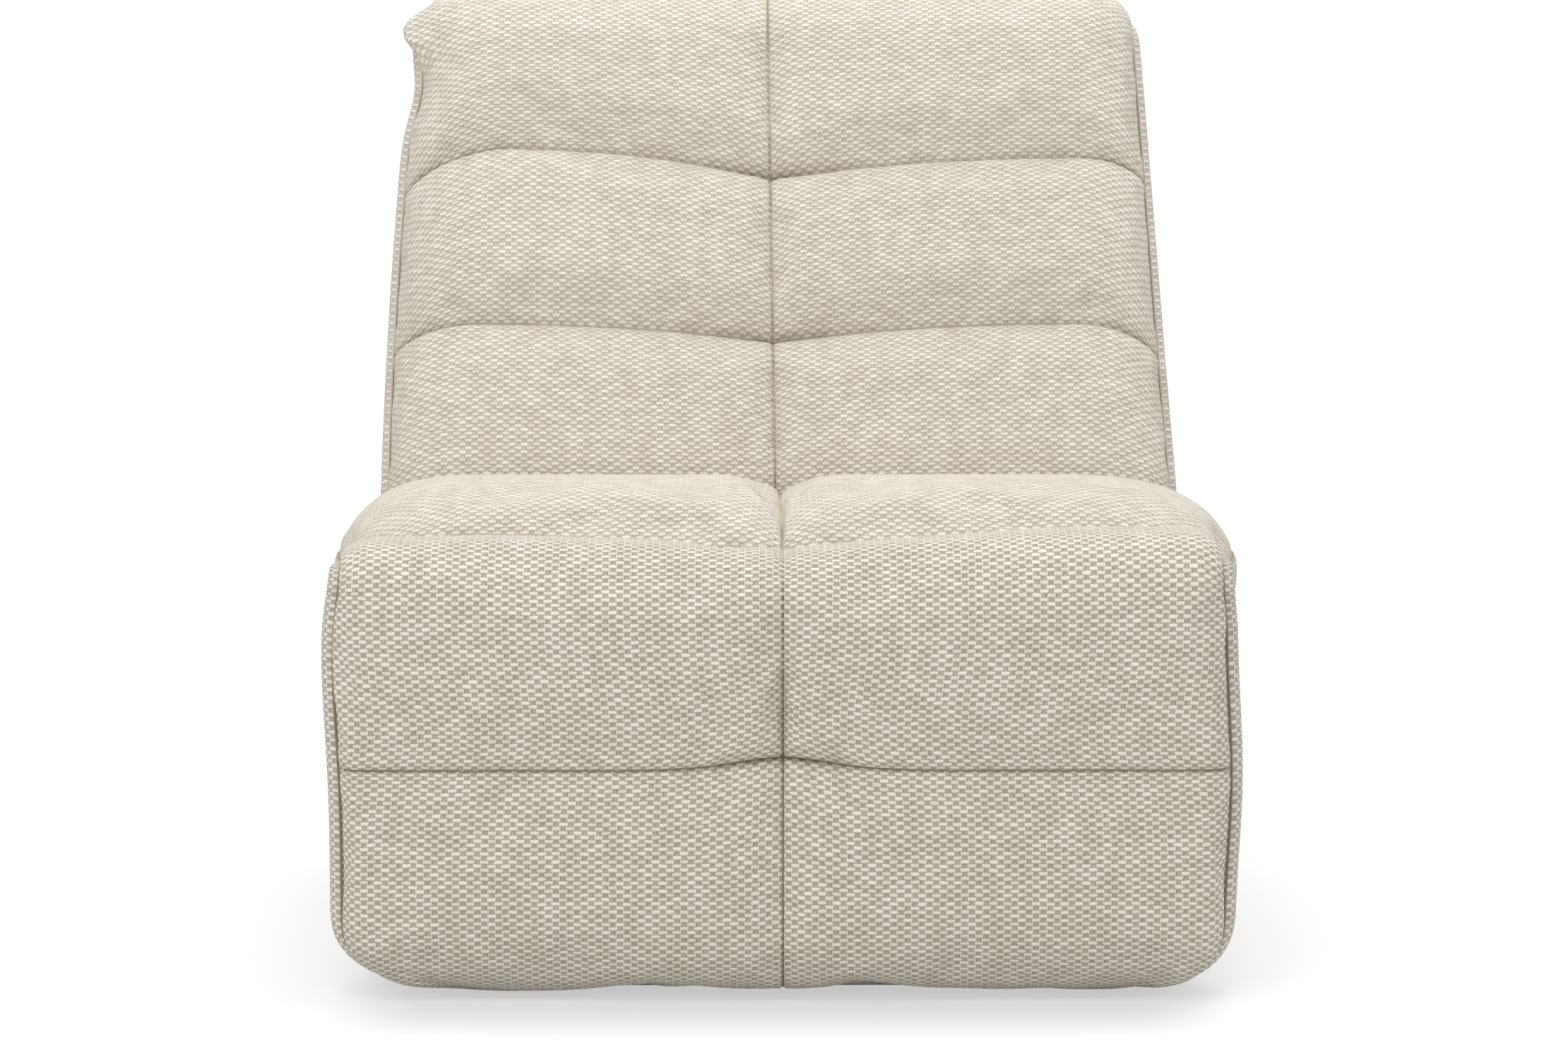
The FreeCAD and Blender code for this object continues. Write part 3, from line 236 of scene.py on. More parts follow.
def sew(name, panels, material):
    """One cover from panels that are joined where their points meet, with a flat map for the weave.

    Gives the piece and, for each panel, the numbers of its points in the mesh.
    """
    points = np.concatenate([panel.points.reshape(-1, 3) for panel in panels])
    flat = np.concatenate([panel.flat.reshape(-1, 2) for panel in panels])
    held = np.concatenate([panel.held.ravel() for panel in panels])
    _, first, welded = np.unique(
        np.round(points * WELD_STEPS).astype(int), axis=0, return_index=True, return_inverse=True
    )
    welded = welded.ravel()
    faces = []
    corners = []
    seams = set()
    numbers = []
    start = 0
    for panel in panels:
        rows, columns = panel.points.shape[:2]
        index = start + np.arange(rows * columns).reshape(rows, columns)
        start += rows * columns
        numbers.append(welded[index])
        quads = np.stack([index[:-1, :-1], index[:-1, 1:], index[1:, 1:], index[1:, :-1]], axis=-1)
        for quad in quads.reshape(-1, 4):
            pairs = zip(quad, np.roll(quad, -1))
            kept = [corner for corner, after in pairs if welded[corner] != welded[after]]
            if len({welded[corner] for corner in kept}) > 2:
                faces.append([welded[corner] for corner in kept])
                corners.extend(kept)
        lines = [index[row] for row in panel.seam_rows] + [index[:, column] for column in panel.seam_columns]
        for line in lines:
            seams.update(frozenset(pair) for pair in zip(welded[line][:-1], welded[line][1:]))
    mesh = bpy.data.meshes.new(name)
    mesh.from_pydata(points[first], [], faces)
    weave = mesh.uv_layers.new(name="weave")
    weave.data.foreach_set("uv", flat[corners].astype(np.float32).ravel())
    crease = mesh.attributes.new("crease_edge", "FLOAT", "EDGE")
    sharp = mesh.attributes.new("sharp_edge", "BOOLEAN", "EDGE")
    on_seam = [frozenset(edge.vertices) in seams for edge in mesh.edges]
    crease.data.foreach_set("value", np.array(on_seam, np.float32))
    sharp.data.foreach_set("value", on_seam)
    mesh.materials.append(material)
    piece = bpy.data.objects.new(name, mesh)
    bpy.context.scene.collection.objects.link(piece)
    group = piece.vertex_groups.new(name="held")
    group.add(np.unique(welded[held]).tolist(), 1.0, "REPLACE")
    tidy_normals(piece)
    return piece, numbers


def tidy_normals(piece):
    """Turns every face outward."""
    bpy.context.view_layer.objects.active = piece
    bpy.ops.object.select_all(action="DESELECT")
    piece.select_set(True)
    bpy.ops.object.mode_set(mode="EDIT")
    bpy.ops.mesh.select_all(action="SELECT")
    bpy.ops.mesh.normals_make_consistent(inside=False)
    bpy.ops.object.mode_set(mode="OBJECT")


def read_points(piece, key):
    values = np.zeros(len(piece.data.vertices) * 3, np.float32)
    piece.data.vertices.foreach_get(key, values)
    return values.reshape(-1, 3).astype(float)


def move_points(piece, places):
    piece.data.vertices.foreach_set("co", places.astype(np.float32).ravel())
    piece.data.update()


def fill(piece, cap):
    """Blows the cover up from inside, no point further than cap, and keeps the result as its mesh."""
    scene = bpy.context.scene
    start = read_points(piece, "co")
    cloth = piece.modifiers.new("fill", "CLOTH")
    settings = cloth.settings
    settings.quality = 5
    settings.mass = 0.3
    settings.tension_stiffness = 15
    settings.compression_stiffness = 15
    settings.shear_stiffness = 5
    settings.bending_stiffness = 0.4
    settings.use_pressure = True
    settings.uniform_pressure_force = FILL_PRESSURE
    settings.vertex_group_mass = "held"
    settings.shrink_min = -FILL_SPARE
    settings.effector_weights.gravity = 0
    cloth.collision_settings.use_collision = False
    cloth.point_cache.frame_start = 1
    cloth.point_cache.frame_end = FILL_FRAMES
    for number in range(1, FILL_FRAMES + 1):
        scene.frame_set(number)
    blown = read_points(piece.evaluated_get(bpy.context.evaluated_depsgraph_get()), "co")
    piece.modifiers.remove(cloth)
    scene.frame_set(1)
    step = blown - start
    length = np.linalg.norm(step, axis=1, keepdims=True) + 1e-9
    move_points(piece, start + step * np.minimum(1, cap / length))


def sink(piece, numbers, depth):
    """Draws these points inward, so that the cloth folds into a seam."""
    numbers = np.unique(numbers)
    places = read_points(piece, "co")
    places[numbers] -= depth * read_points(piece, "normal")[numbers]
    move_points(piece, places)


def round_off(piece):
    """Smooth shading and a surface one level finer."""
    piece.data.shade_smooth()
    finer = piece.modifiers.new("finer", "SUBSURF")
    finer.levels = 1
    finer.render_levels = 1


def thicken(piece, thickness):
    """Gives a single layer of cloth its thickness."""
    wall = piece.modifiers.new("wall", "SOLIDIFY")
    wall.thickness = thickness
    wall.offset = -1


# Materials

class Nodes:
    """Short ways to add and join the nodes of one material."""

    def __init__(self, name):
        self.material = bpy.data.materials.new(name)
        self.material.use_nodes = True
        self.tree = self.material.node_tree
        self.shader = self.tree.nodes["Principled BSDF"]

    def add(self, kind, settings=None, **inputs):
        node = self.tree.nodes.new(kind)
        for key, value in (settings or {}).items():
            setattr(node, key, value)
        self.put_all(node, inputs)
        return node

    def put_all(self, node, inputs):
        for key, value in inputs.items():
            self.put(node.inputs[key.replace("_", " ")], value)

    def put(self, socket, value):
        if isinstance(value, bpy.types.NodeSocket):
            self.tree.links.new(value, socket)
        else:
            socket.default_value = value

    def math(self, operation, *values):
        node = self.add("ShaderNodeMath", {"operation": operation})
        for socket, value in zip(node.inputs, values):
            self.put(socket, value)
        return node.outputs[0]

    def mix(self, share, first, second):
        node = self.add("ShaderNodeMix", {"data_type": "RGBA"}, Factor=share, A=first, B=second)
        return node.outputs["Result"]

    def place(self):
        return self.add("ShaderNodeTexCoord").outputs["Object"]

    def cloth_place(self):
        """The place on the flat cloth, and its parts along and across the rows."""
        flat = self.add("ShaderNodeUVMap", {"uv_map": "weave"}).outputs["UV"]
        split = self.add("ShaderNodeSeparateXYZ", Vector=flat)
        return flat, split.outputs["X"], split.outputs["Y"]

    def waves(self, value, length):
        return self.math("SINE", self.math("MULTIPLY", value, 2 * math.pi / length))

    def scaled(self, vector, factors):
        node = self.add("ShaderNodeVectorMath", {"operation": "MULTIPLY"})
        self.put(node.inputs[0], vector)
        node.inputs[1].default_value = factors
        return node.outputs["Vector"]

    def noise(self, vector, scale, detail=2.0, roughness=0.5):
        node = self.add("ShaderNodeTexNoise", Vector=vector, Scale=scale, Detail=detail, Roughness=roughness)
        return node.outputs["Fac"]

    def range(self, value, low, high, to_low=0.0, to_high=1.0):
        node = self.add(
            "ShaderNodeMapRange", {"interpolation_type": "SMOOTHSTEP"},
            Value=value, From_Min=low, From_Max=high, To_Min=to_low, To_Max=to_high,
        )
        return node.outputs["Result"]

    def bump(self, height, distance, strength=1.0):
        node = self.add("ShaderNodeBump", Strength=strength, Distance=distance, Height=height)
        self.put(self.shader.inputs["Normal"], node.outputs["Normal"])

    def surface(self, **inputs):
        self.put_all(self.shader, inputs)
        return self.material


# Weave: length of a repeat along a row, height of a row, share of a repeat that a float covers, relief
WEAVE_REPEAT = 0.0126
WEAVE_ROW = 0.0038
FLOAT_SHARE = 0.70
WEAVE_HEIGHT = 0.0016
# How far rows sway, and how far threads jitter along and across them
ROW_SWAY = 0.0030
JITTER_ALONG = 0.0022
JITTER_ACROSS = 0.0010
# Profile of a float: how steep its sides are, how far they fall, and how high the lap beside its ends is
FLOAT_STEEP = 2.4
FLOAT_FALL = 0.68
LAP_HIGH = 0.45
# Tone of a thread: weights of its own shade, clouds, streaks and fibres, the range they fill, and its colours
TONE_OWN = 0.16
TONE_CLOUD = 0.06
TONE_STREAK = 0.10
TONE_FIBRES = 0.34
TONE_RANGE = (0.16, 0.50)
THREAD_DARK = (0.67, 0.61, 0.515, 1)
THREAD_LIGHT = (0.86, 0.82, 0.745, 1)
FIBRE_RELIEF = 0.18


def woven_fabric(name, hollow_shade_dark, hollow_shade_light):
    """Chunky half-drop weave: plump cream floats in rows, with small darker hollows between their ends; the
    darker hollows and the low sides of the floats are painted shade.
    """
    make = Nodes(name)
    flat, along, across = make.cloth_place()
    sway = make.noise(flat, 38.0, 1.0)
    jitter = make.noise(flat, 210.0, 1.0)
    along = make.math("MULTIPLY_ADD", jitter, JITTER_ALONG, along)
    across = make.math("MULTIPLY_ADD", sway, ROW_SWAY, across)
    across = make.math("MULTIPLY_ADD", jitter, JITTER_ACROSS, across)
    row_place = make.math("DIVIDE", across, WEAVE_ROW)
    row = make.math("FLOOR", row_place)
    in_row = make.math("ABSOLUTE", make.math("SUBTRACT", make.math("FRACT", row_place), 0.5))
    half_drop = make.math("MULTIPLY", make.math("FLOORED_MODULO", row, 2.0), 0.5)
    repeat_place = make.math("ADD", make.math("DIVIDE", along, WEAVE_REPEAT), half_drop)
    repeat = make.math("FLOOR", repeat_place)
    from_middle = make.math("ABSOLUTE", make.math("SUBTRACT", make.math("FRACT", repeat_place), 0.5))
    end_at = FLOAT_SHARE / 2
    on_float = make.range(from_middle, end_at - 0.10, end_at + 0.04, 1.0, 0.0)
    off_float = make.range(from_middle, end_at, end_at + 0.07)
    in_hollow = make.math("MULTIPLY", off_float, make.range(in_row, 0.24, 0.42, 1.0, 0.0))
    row_side = make.math("POWER", make.math("MULTIPLY", in_row, 2.0), FLOAT_STEEP)
    rounded = make.math("SUBTRACT", 1.0, make.math("MULTIPLY", row_side, FLOAT_FALL))
    crown = make.math("MULTIPLY", on_float, rounded)
    lap = make.math("MULTIPLY", off_float, make.range(in_row, 0.20, 0.50, 0.0, LAP_HIGH))
    height = make.math("MAXIMUM", crown, lap)
    fibres = make.noise(flat, 1300.0, 2.0, 0.6)
    thread_key = make.add("ShaderNodeCombineXYZ", X=repeat, Y=row).outputs["Vector"]
    own = make.add("ShaderNodeTexWhiteNoise", {"noise_dimensions": "2D"}, Vector=thread_key).outputs["Value"]
    cloud = make.noise(flat, 14.0, 3.0, 0.6)
    streak = make.noise(make.scaled(flat, (1.0, 0.12, 1.0)), 100.0, 2.0)
    tone = make.math("MULTIPLY_ADD", own, TONE_OWN, make.math("MULTIPLY", cloud, TONE_CLOUD))
    tone = make.math("MULTIPLY_ADD", streak, TONE_STREAK, tone)
    tone = make.math("MULTIPLY_ADD", fibres, TONE_FIBRES, tone)
    tone = make.range(tone, *TONE_RANGE)
    yarn = make.mix(tone, THREAD_DARK, THREAD_LIGHT)
    # Painted shade: the hollows and the low sides of the floats take the darker colours
    deep = make.mix(tone, hollow_shade_dark, hollow_shade_light)
    colour = make.mix(in_hollow, make.mix(make.range(height, 0.20, 0.62), deep, yarn), deep)
    make.bump(make.math("MULTIPLY_ADD", fibres, FIBRE_RELIEF, height), WEAVE_HEIGHT, 0.95)
    return make.surface(
        Base_Color=colour, Roughness=0.93, Specular_IOR_Level=0.18, Sheen_Weight=0.15, Sheen_Roughness=0.55
    )


def seam_shade_material(name, dark, light):
    """Twisted cord deep in a seam, its dark colour painted seam shade."""
    make = Nodes(name)
    twist = make.noise(make.place(), 700.0, 2.0)
    make.bump(twist, 0.0004)
    return make.surface(Base_Color=make.mix(twist, dark, light), Roughness=0.85, Specular_IOR_Level=0.15)


def timber(name, grain):
    """Planed softwood, with its grain along one axis."""
    make = Nodes(name)
    stretched = make.scaled(make.place(), [0.05 if axis == grain else 1.0 for axis in range(3)])
    rings = make.noise(stretched, 65.0, 3.0, 0.6)
    pores = make.noise(stretched, 900.0, 2.0)
    tone = make.math("MULTIPLY_ADD", pores, 0.35, make.range(rings, 0.35, 0.65, 0.0, 0.65))
    colour = make.mix(tone, (0.50, 0.345, 0.20, 1), (0.74, 0.585, 0.405, 1))
    make.bump(pores, 0.0004, 0.6)
    return make.surface(Base_Color=colour, Roughness=make.range(rings, 0.3, 0.7, 0.55, 0.72))


def zinc_plate(name):
    """Bright zinc with fine brush marks and a faint spangle."""
    make = Nodes(name)
    cells = make.add("ShaderNodeTexVoronoi", Vector=make.place(), Scale=260.0).outputs["Color"]
    spangle = make.add("ShaderNodeSeparateColor", Color=cells).outputs["Red"]
    marks = make.noise(make.scaled(make.place(), (1.0, 0.08, 1.0)), 1500.0, 2.0)
    tone = make.math("MULTIPLY_ADD", spangle, 0.4, make.math("MULTIPLY", marks, 0.6))
    colour = make.mix(tone, (0.56, 0.56, 0.545, 1), (0.78, 0.78, 0.765, 1))
    make.bump(marks, 0.0002, 0.4)
    return make.surface(Base_Color=colour, Metallic=1.0, Roughness=make.range(tone, 0.2, 0.8, 0.30, 0.46))


def mottled(name, dark, light, dull, grain, patch, relief, metallic=0.0):
    """A surface with a fine grain, whose tone and gloss change in patches."""
    make = Nodes(name)
    broad = make.noise(make.place(), *patch)
    make.bump(make.noise(make.place(), *grain), *relief)
    colour = make.mix(broad, dark, light)
    return make.surface(
        Base_Color=colour, Metallic=metallic, Roughness=make.range(broad, 0.3, 0.7, *dull)
    )


def black_coat(name):
    """Black powder coat with its orange-peel surface and duller patches."""
    dark = (0.020, 0.020, 0.021, 1)
    light = (0.055, 0.054, 0.053, 1)
    return mottled(name, dark, light, (0.38, 0.56), (1100.0, 1.0), (40.0, 3.0, 0.6), (0.0003, 0.5))


def drawn_wire(name):
    """Oiled spring wire with drawing marks."""
    dark = (0.30, 0.295, 0.285, 1)
    light = (0.58, 0.575, 0.56, 1)
    marks = (420.0, 3.0, 0.6)
    return mottled(name, dark, light, (0.26, 0.44), marks, marks, (0.0002, 0.4), 1.0)


def moulded(name, dark, light, dull):
    """Moulded plastic with a fine grain and slight mottling."""
    return mottled(name, dark, light, dull, (1600.0, 2.0), (90.0, 2.0), (0.0002, 0.4))


# Length of one rib and one row of the webbing, and of one dot of the dust cloth
STRAP_RIB = 0.0035
STRAP_ROW = 0.0016
DUST_DOT = 0.004


def strap_weave(name):
    """Black elastic webbing with ribs along it and fine rows across it."""
    make = Nodes(name)
    _, along, across = make.cloth_place()
    ribs = make.waves(across, STRAP_RIB)
    picks = make.waves(along, STRAP_ROW)
    height = make.math("MULTIPLY_ADD", picks, 0.35, make.math("MULTIPLY", ribs, 0.65))
    colour = make.mix(make.range(height, -0.8, 0.8), (0.05, 0.046, 0.042, 1), (0.17, 0.158, 0.145, 1))
    make.bump(height, 0.0005, 0.6)
    return make.surface(Base_Color=colour, Roughness=0.85, Specular_IOR_Level=0.25)


def felted_cloth(name):
    """Black non-woven dust cloth: matted fibres with a grid of pressed dots."""
    make = Nodes(name)
    flat, along, across = make.cloth_place()
    grid = make.math("MULTIPLY", make.waves(along, DUST_DOT), make.waves(across, DUST_DOT))
    dots = make.range(grid, 0.35, 0.75)
    fibres = make.noise(flat, 900.0, 4.0, 0.7)
    height = make.math("SUBTRACT", fibres, make.math("MULTIPLY", dots, 0.6))
    colour = make.mix(make.range(height, 0.0, 0.7), (0.022, 0.022, 0.023, 1), (0.085, 0.083, 0.08, 1))
    make.bump(height, 0.0005, 0.6)
    return make.surface(Base_Color=colour, Roughness=0.95, Specular_IOR_Level=0.15)


# Colours of the weave's hollows are painted shade; the pad's copy of the fabric has darker hollows, a deeper
# painted shade for the light from above that grazes the pad's upright face
FABRIC = woven_fabric("cream_weave", (0.49, 0.44, 0.36, 1), (0.645, 0.595, 0.51, 1))
PAD_SHADED_FABRIC = woven_fabric("pad_shaded_cream_weave", (0.35, 0.305, 0.24, 1), (0.50, 0.45, 0.37, 1))
# Colours of the seam cords are painted seam shade, dark on the pad and pale on the seat and the back
DARK_SEAM_SHADE = seam_shade_material("dark_seam_shade", (0.20, 0.165, 0.12, 1), (0.33, 0.28, 0.21, 1))
PALE_SEAM_SHADE = seam_shade_material("pale_seam_shade", (0.42, 0.37, 0.30, 1), (0.56, 0.505, 0.42, 1))
WIRE = drawn_wire("drawn_wire")
FINISHES = {
    "zinc_steel": zinc_plate("zinc_plate"),
    "black_steel": black_coat("black_coat"),
    "spring_steel": WIRE,
    "nylon": moulded("nylon", (0.70, 0.68, 0.62, 1), (0.86, 0.84, 0.78, 1), (0.38, 0.53)),
    "glides": moulded("glides", (0.022, 0.022, 0.022, 1), (0.06, 0.059, 0.058, 1), (0.45, 0.60)),
}
TIMBERS = [timber(f"timber_{axis}", number) for number, axis in enumerate("xyz")]


def finish_nodes():
    """Gives every piece of the frame its material."""
    for entry in frame["record"]["subparts"]:
        low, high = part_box(entry["node"])
        longest = int(np.argmax(high - low))
        material = FINISHES.get(entry["material_slot"], TIMBERS[longest])
        mesh = frame["nodes"][entry["node"]].data
        mesh.materials.clear()
        mesh.materials.append(material)


# Cushions: a swelled face, a plain rear face and a boxing strip around them

PAD_STEP = 0.0085
COLUMN_GRADING = 0.70
# Cords of painted seam shade: radius, step along them, how deep they lie in a seam or a border, and how far
# the cloth sinks there
SEAM_CORD_RADIUS = 0.0011
SEAM_CORD_STEP = 0.0021
SEAM_DEPTH = 0.0024
BORDER_DEPTH = 0.0016
SEAM_SINK = 0.0030
# Points of a seam that its cord leaves free at each end
SEAM_CORD_INSET = 2
# How far a cord sways, and the ways it can sway
SWAY = 0.0008
STILL = (0, 0, 0)
SIDEWAYS = (1, 0, 0)
UPWARD = (0, 0, 1)


def face_grid(rows, half):
    """Number of the middle column, and each point's length up the rows and share of the half width."""
    columns = graded([-1, 0, 1], PAD_STEP / half, COLUMN_GRADING)
    return nearest(columns, 0), *over_grid(rows, columns)


def padded_face(path, along, x, swell):
    """Points of a face that is swelled outward from a side view."""
    at, normal = on_path(path, along)
    return np.stack([x, at[..., 0] + normal[..., 0] * swell, at[..., 1] + normal[..., 1] * swell], axis=-1)


def grid_lengths(points, axis):
    """Each point's length from the first, along the rows or the columns of a grid."""
    steps = np.linalg.norm(np.diff(points, axis=axis), axis=2)
    steps = np.insert(steps, 0, 0, axis=axis)
    return np.cumsum(steps, axis=axis)


def flat_lengths(points, middle):
    """Each point's place on the flat cloth: its length along the row, and the mean length up the rows."""
    across = grid_lengths(points, 1)
    up = grid_lengths(points, 0).mean(axis=1, keepdims=True)
    return np.stack(np.broadcast_arrays(across - across[:, [middle]], up), axis=-1)


def outline_normals(border, axes):
    """Outward directions along a border that runs down the left, across and up the right."""
    ahead = unit(np.gradient(border[:, axes], axis=0))
    outward = np.zeros_like(border)
    outward[:, axes[0]] = ahead[:, 1]
    outward[:, axes[1]] = -ahead[:, 0]
    return outward


def border_of(grid):
    return np.concatenate([grid[::-1, 0], grid[0, 1:], grid[1:, -1]])


def cushion(name, fabric, points, rear_points, axes, bulge, middle, seam_rows, turn=None):
    """A sewn cushion, whose rear ends in the face's last row.

    Gives the piece and the numbers of its face's points.
    """
    rear_points[-1] = points[-1]
    held = np.zeros(points.shape[:2], bool)
    held[EDGES + seam_rows, :] = True
    held[:, EDGES + [middle]] = True
    border = border_of(points)
    outward = outline_normals(border, axes)
    outward[:, axes] *= bulge
    panels = [
        Panel(points, flat_lengths(points, middle), held, EDGES + seam_rows, EDGES + [middle]),
        Panel(rear_points, flat_lengths(rear_points, middle), np.ones_like(held), EDGES, EDGES),
        strip(border, border_of(rear_points), outward),
    ]
    if turn:
        panels = [panel._replace(points=turn(panel.points)) for panel in panels]
    piece, numbers = sew(name, panels, fabric)
    return piece, numbers[0]


def thread(name, piece, lines, material, body):
    """Cords of painted seam shade in a cushion's seams: each line is point numbers, its depth and the way it
    sways.
    """
    places = read_points(piece, "co")
    normals = read_points(piece, "normal")
    panels = []
    for numbers, depth, sway in lines:
        path = resampled(places[numbers] - depth * normals[numbers], SEAM_CORD_STEP)
        wave = np.sin(path_lengths(path) / WEAVE_REPEAT * 2 * math.pi)
        panels.append(tube(path + SWAY * wave[:, None] * np.array(sway), SEAM_CORD_RADIUS, sides=6))
    line, _ = sew(name, panels, material)
    finish_plain(line, body)


def finish_plain(piece, body):
    piece.data.shade_smooth()
    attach(piece, body)


def finish_soft(piece, body, replaced):
    round_off(piece)
    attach(piece, body)
    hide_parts(*replaced)


# Front pad, which is the folded legrest: two by two pillows

# Side view: bottom, top and hem, then foot, face and rear, and the radii of its corners
PAD_LOW = 0.0095
PAD_TOP = 0.382
PAD_HEM = 0.362
PAD_FOOT = -0.452
PAD_FACE = -0.484
PAD_REAR = -0.3785
PAD_FOOT_RADIUS = 0.024
PAD_TOP_RADIUS = 0.016
# Outline: half width, belly, narrower shoulder and lower corners; pairs are for the left and the right
PAD_HALF = 0.398
PAD_BELLY = 0.006
PAD_BELLY_AT = (0.305, 0.20)
PAD_BELLY_SPREAD = 0.09
PAD_SHOULDER = 0.004
PAD_SHOULDER_FROM = 0.33
PAD_SHOULDER_TALL = 0.06
PAD_CORNER_WIDE = (0.120, 0.084)
PAD_CORNER_HIGH = 0.064
PAD_CORNER_SQUARE = 2.3
# Swell of the face and of the top roll, which lifts toward the sides, and where each fades out
PAD_SWELL = 0.030
PAD_SIDE_ROLL = 0.030
PAD_FOOT_FROM = 0.005
PAD_FOOT_LONG = 0.065
PAD_TOP_SWELL = 0.020
PAD_ROLL = 0.03
PAD_ROLL_LONG = 0.05
PAD_ROLL_SIDE = 0.5
PAD_LIFT = (0.010, 0.019)
PAD_LIFT_WIDE = 0.38
PAD_END_LONG = 0.05
PAD_BULGE = (0.012, 0.004)
# Seams: height of the row, top of the dark cord of painted seam shade, the tuft, and the pull of the row and
# of the middle
PAD_SEAM_AT = 0.2125
PAD_SEAM_CORD_TOP = 0.316
PAD_TUFT_RISE = 0.0095
PAD_TUFT_WIDE = 0.06
PAD_TUFT_TALL = 0.08
PAD_ROW_PULL = 0.18
PAD_TUFT_PULL = 0.52
PAD_ROW_ROLL = 0.028
PAD_MIDDLE_PULL = 0.14
PAD_MIDDLE_ROLL = 0.030
PAD_MIDDLE_FADE = 0.12
PAD_TUCK_PULL = 0.42
PAD_TUCK_AT = 0.035
PAD_TUCK_TALL = 0.055
PAD_FILL = 0.008
PAD_FAINT_SINK = 0.0010
PAD_SIDE_SINK = 0.0045
PAD_SINK_FROM = 4


def front_pad():
    path = rounded_path([
        (PAD_FOOT, PAD_LOW, 0),
        (PAD_FACE, PAD_LOW, PAD_FOOT_RADIUS),
        (PAD_FACE, PAD_TOP, PAD_TOP_RADIUS),
        (PAD_REAR, PAD_TOP, PAD_TOP_RADIUS),
        (PAD_REAR, PAD_HEM, 0),
    ])
    end = path_lengths(path)[-1]
    seam_at = length_at(path, PAD_TOP, PAD_SEAM_AT)
    roll_at = length_at(path, PAD_TOP, PAD_TOP - PAD_ROLL)
    rows = graded([0, seam_at, roll_at + PAD_ROLL, end], PAD_STEP)
    middle, along, side_share = face_grid(rows, PAD_HALF)
    seam_row = nearest(rows, seam_at)
    seam_cord_top = nearest(rows, length_at(path, PAD_TOP, PAD_SEAM_CORD_TOP))
    tuft = hill(side_share * PAD_HALF, PAD_TUFT_WIDE)
    along = along + PAD_TUFT_RISE * tuft * hill(along - seam_at, PAD_TUFT_TALL)
    up = on_path(path, along)[0][..., 1]
    on_left = side_share < 0

    belly_at = np.where(on_left, *PAD_BELLY_AT)
    half = PAD_HALF + PAD_BELLY * hill(up - belly_at, PAD_BELLY_SPREAD)
    half = half - PAD_SHOULDER * smooth((up - PAD_SHOULDER_FROM) / PAD_SHOULDER_TALL)
    fall = np.clip((PAD_LOW + PAD_CORNER_HIGH - up) / PAD_CORNER_HIGH, 0, 1)
    fall = np.where(along < seam_at, fall, 0)
    corner = np.where(on_left, *PAD_CORNER_WIDE)
    half = half - corner * (1 - (1 - fall ** PAD_CORNER_SQUARE) ** (1 / PAD_CORNER_SQUARE))
    x = side_share * half

    from_seam = along - along[seam_row][None, :]
    on_roll = smooth((along - roll_at) / PAD_ROLL_LONG)
    side = round_edge(half - np.abs(x), PAD_SIDE_ROLL)
    side = 1 - (1 - side) * (1 - PAD_ROLL_SIDE * on_roll)
    foot = smooth((along - PAD_FOOT_FROM) / PAD_FOOT_LONG)
    row_pull = 1 - (PAD_ROW_PULL + PAD_TUFT_PULL * tuft) * (1 - round_edge(from_seam, PAD_ROW_ROLL))
    middle_pull = PAD_MIDDLE_PULL + PAD_TUCK_PULL * hill(from_seam - PAD_TUCK_AT, PAD_TUCK_TALL)
    middle_pull = middle_pull * smooth((end - along) / PAD_MIDDLE_FADE)
    column_pull = 1 - middle_pull * (1 - round_edge(x, PAD_MIDDLE_ROLL))
    lift = np.where(on_left, *PAD_LIFT) * smooth(np.abs(x) / PAD_LIFT_WIDE)
    swell = PAD_SWELL + (PAD_TOP_SWELL + lift - PAD_SWELL) * on_roll
    swell = swell * smooth((end - along) / PAD_END_LONG) * side * foot * row_pull * column_pull
    points = padded_face(path, along, x, swell)
    rear_points = np.stack([x, np.full_like(x, PAD_REAR), np.minimum(up, PAD_HEM)], axis=-1)

    # The pad wears the copy of the fabric whose hollows carry the deeper painted shade
    piece, face = cushion(
        "front_pad", PAD_SHADED_FABRIC, points, rear_points, [0, 2], PAD_BULGE, middle, [seam_row]
    )
    fill(piece, PAD_FILL)
    # Dark cords laid in the seams and along the borders are painted seam shade
    lines = [
        (face[seam_row, SEAM_CORD_INSET:-SEAM_CORD_INSET], SEAM_DEPTH, UPWARD),
        (face[:seam_cord_top, middle], SEAM_DEPTH, SIDEWAYS),
        (face[:, 0], BORDER_DEPTH, STILL),
        (face[:, -1], BORDER_DEPTH, STILL),
    ]
    thread("front_pad_seam_shade", piece, lines, DARK_SEAM_SHADE, "legrest")
    sink(piece, np.concatenate([face[seam_row], face[:seam_cord_top, middle]]), SEAM_SINK)
    sink(piece, face[seam_cord_top:, middle], PAD_FAINT_SINK)
    sink(piece, face[PAD_SINK_FROM:, EDGES], PAD_SIDE_SINK)
    finish_soft(piece, "legrest", ["legrest_pad"])


# Seat: two lobes with a notch between them

# Plan and side view: half widths, narrower front corners, then front, rear, foot, seam and bottom
SEAT_HALF = (0.426, 0.434)
SEAT_CORNER_WIDE = 0.038
SEAT_CORNER_LONG = 0.20
SEAT_BULGE = (0.002, 0.0095)
SEAT_FRONT = -0.366
SEAT_REAR = 0.135
SEAT_REAR_RADIUS = 0.012
SEAT_FOOT = 0.158
SEAT_SEAM = 0.376
SEAT_BOTTOM = 0.3445
# Swell, how far from each edge it is full, the notch on the middle, and the dip toward the rear
SEAT_SWELL = 0.071
SEAT_SIDE_ROLL = (0.126, 0.152)
SEAT_FRONT_ROLL = 0.115
SEAT_REAR_ROLL = 0.06
SEAT_NOTCH = 0.34
SEAT_NOTCH_HALF = 0.055
SEAT_DIP = 0.42
SEAT_DIP_FROM = 0.10
SEAT_DIP_LONG = 0.45
SEAT_FILL = 0.006


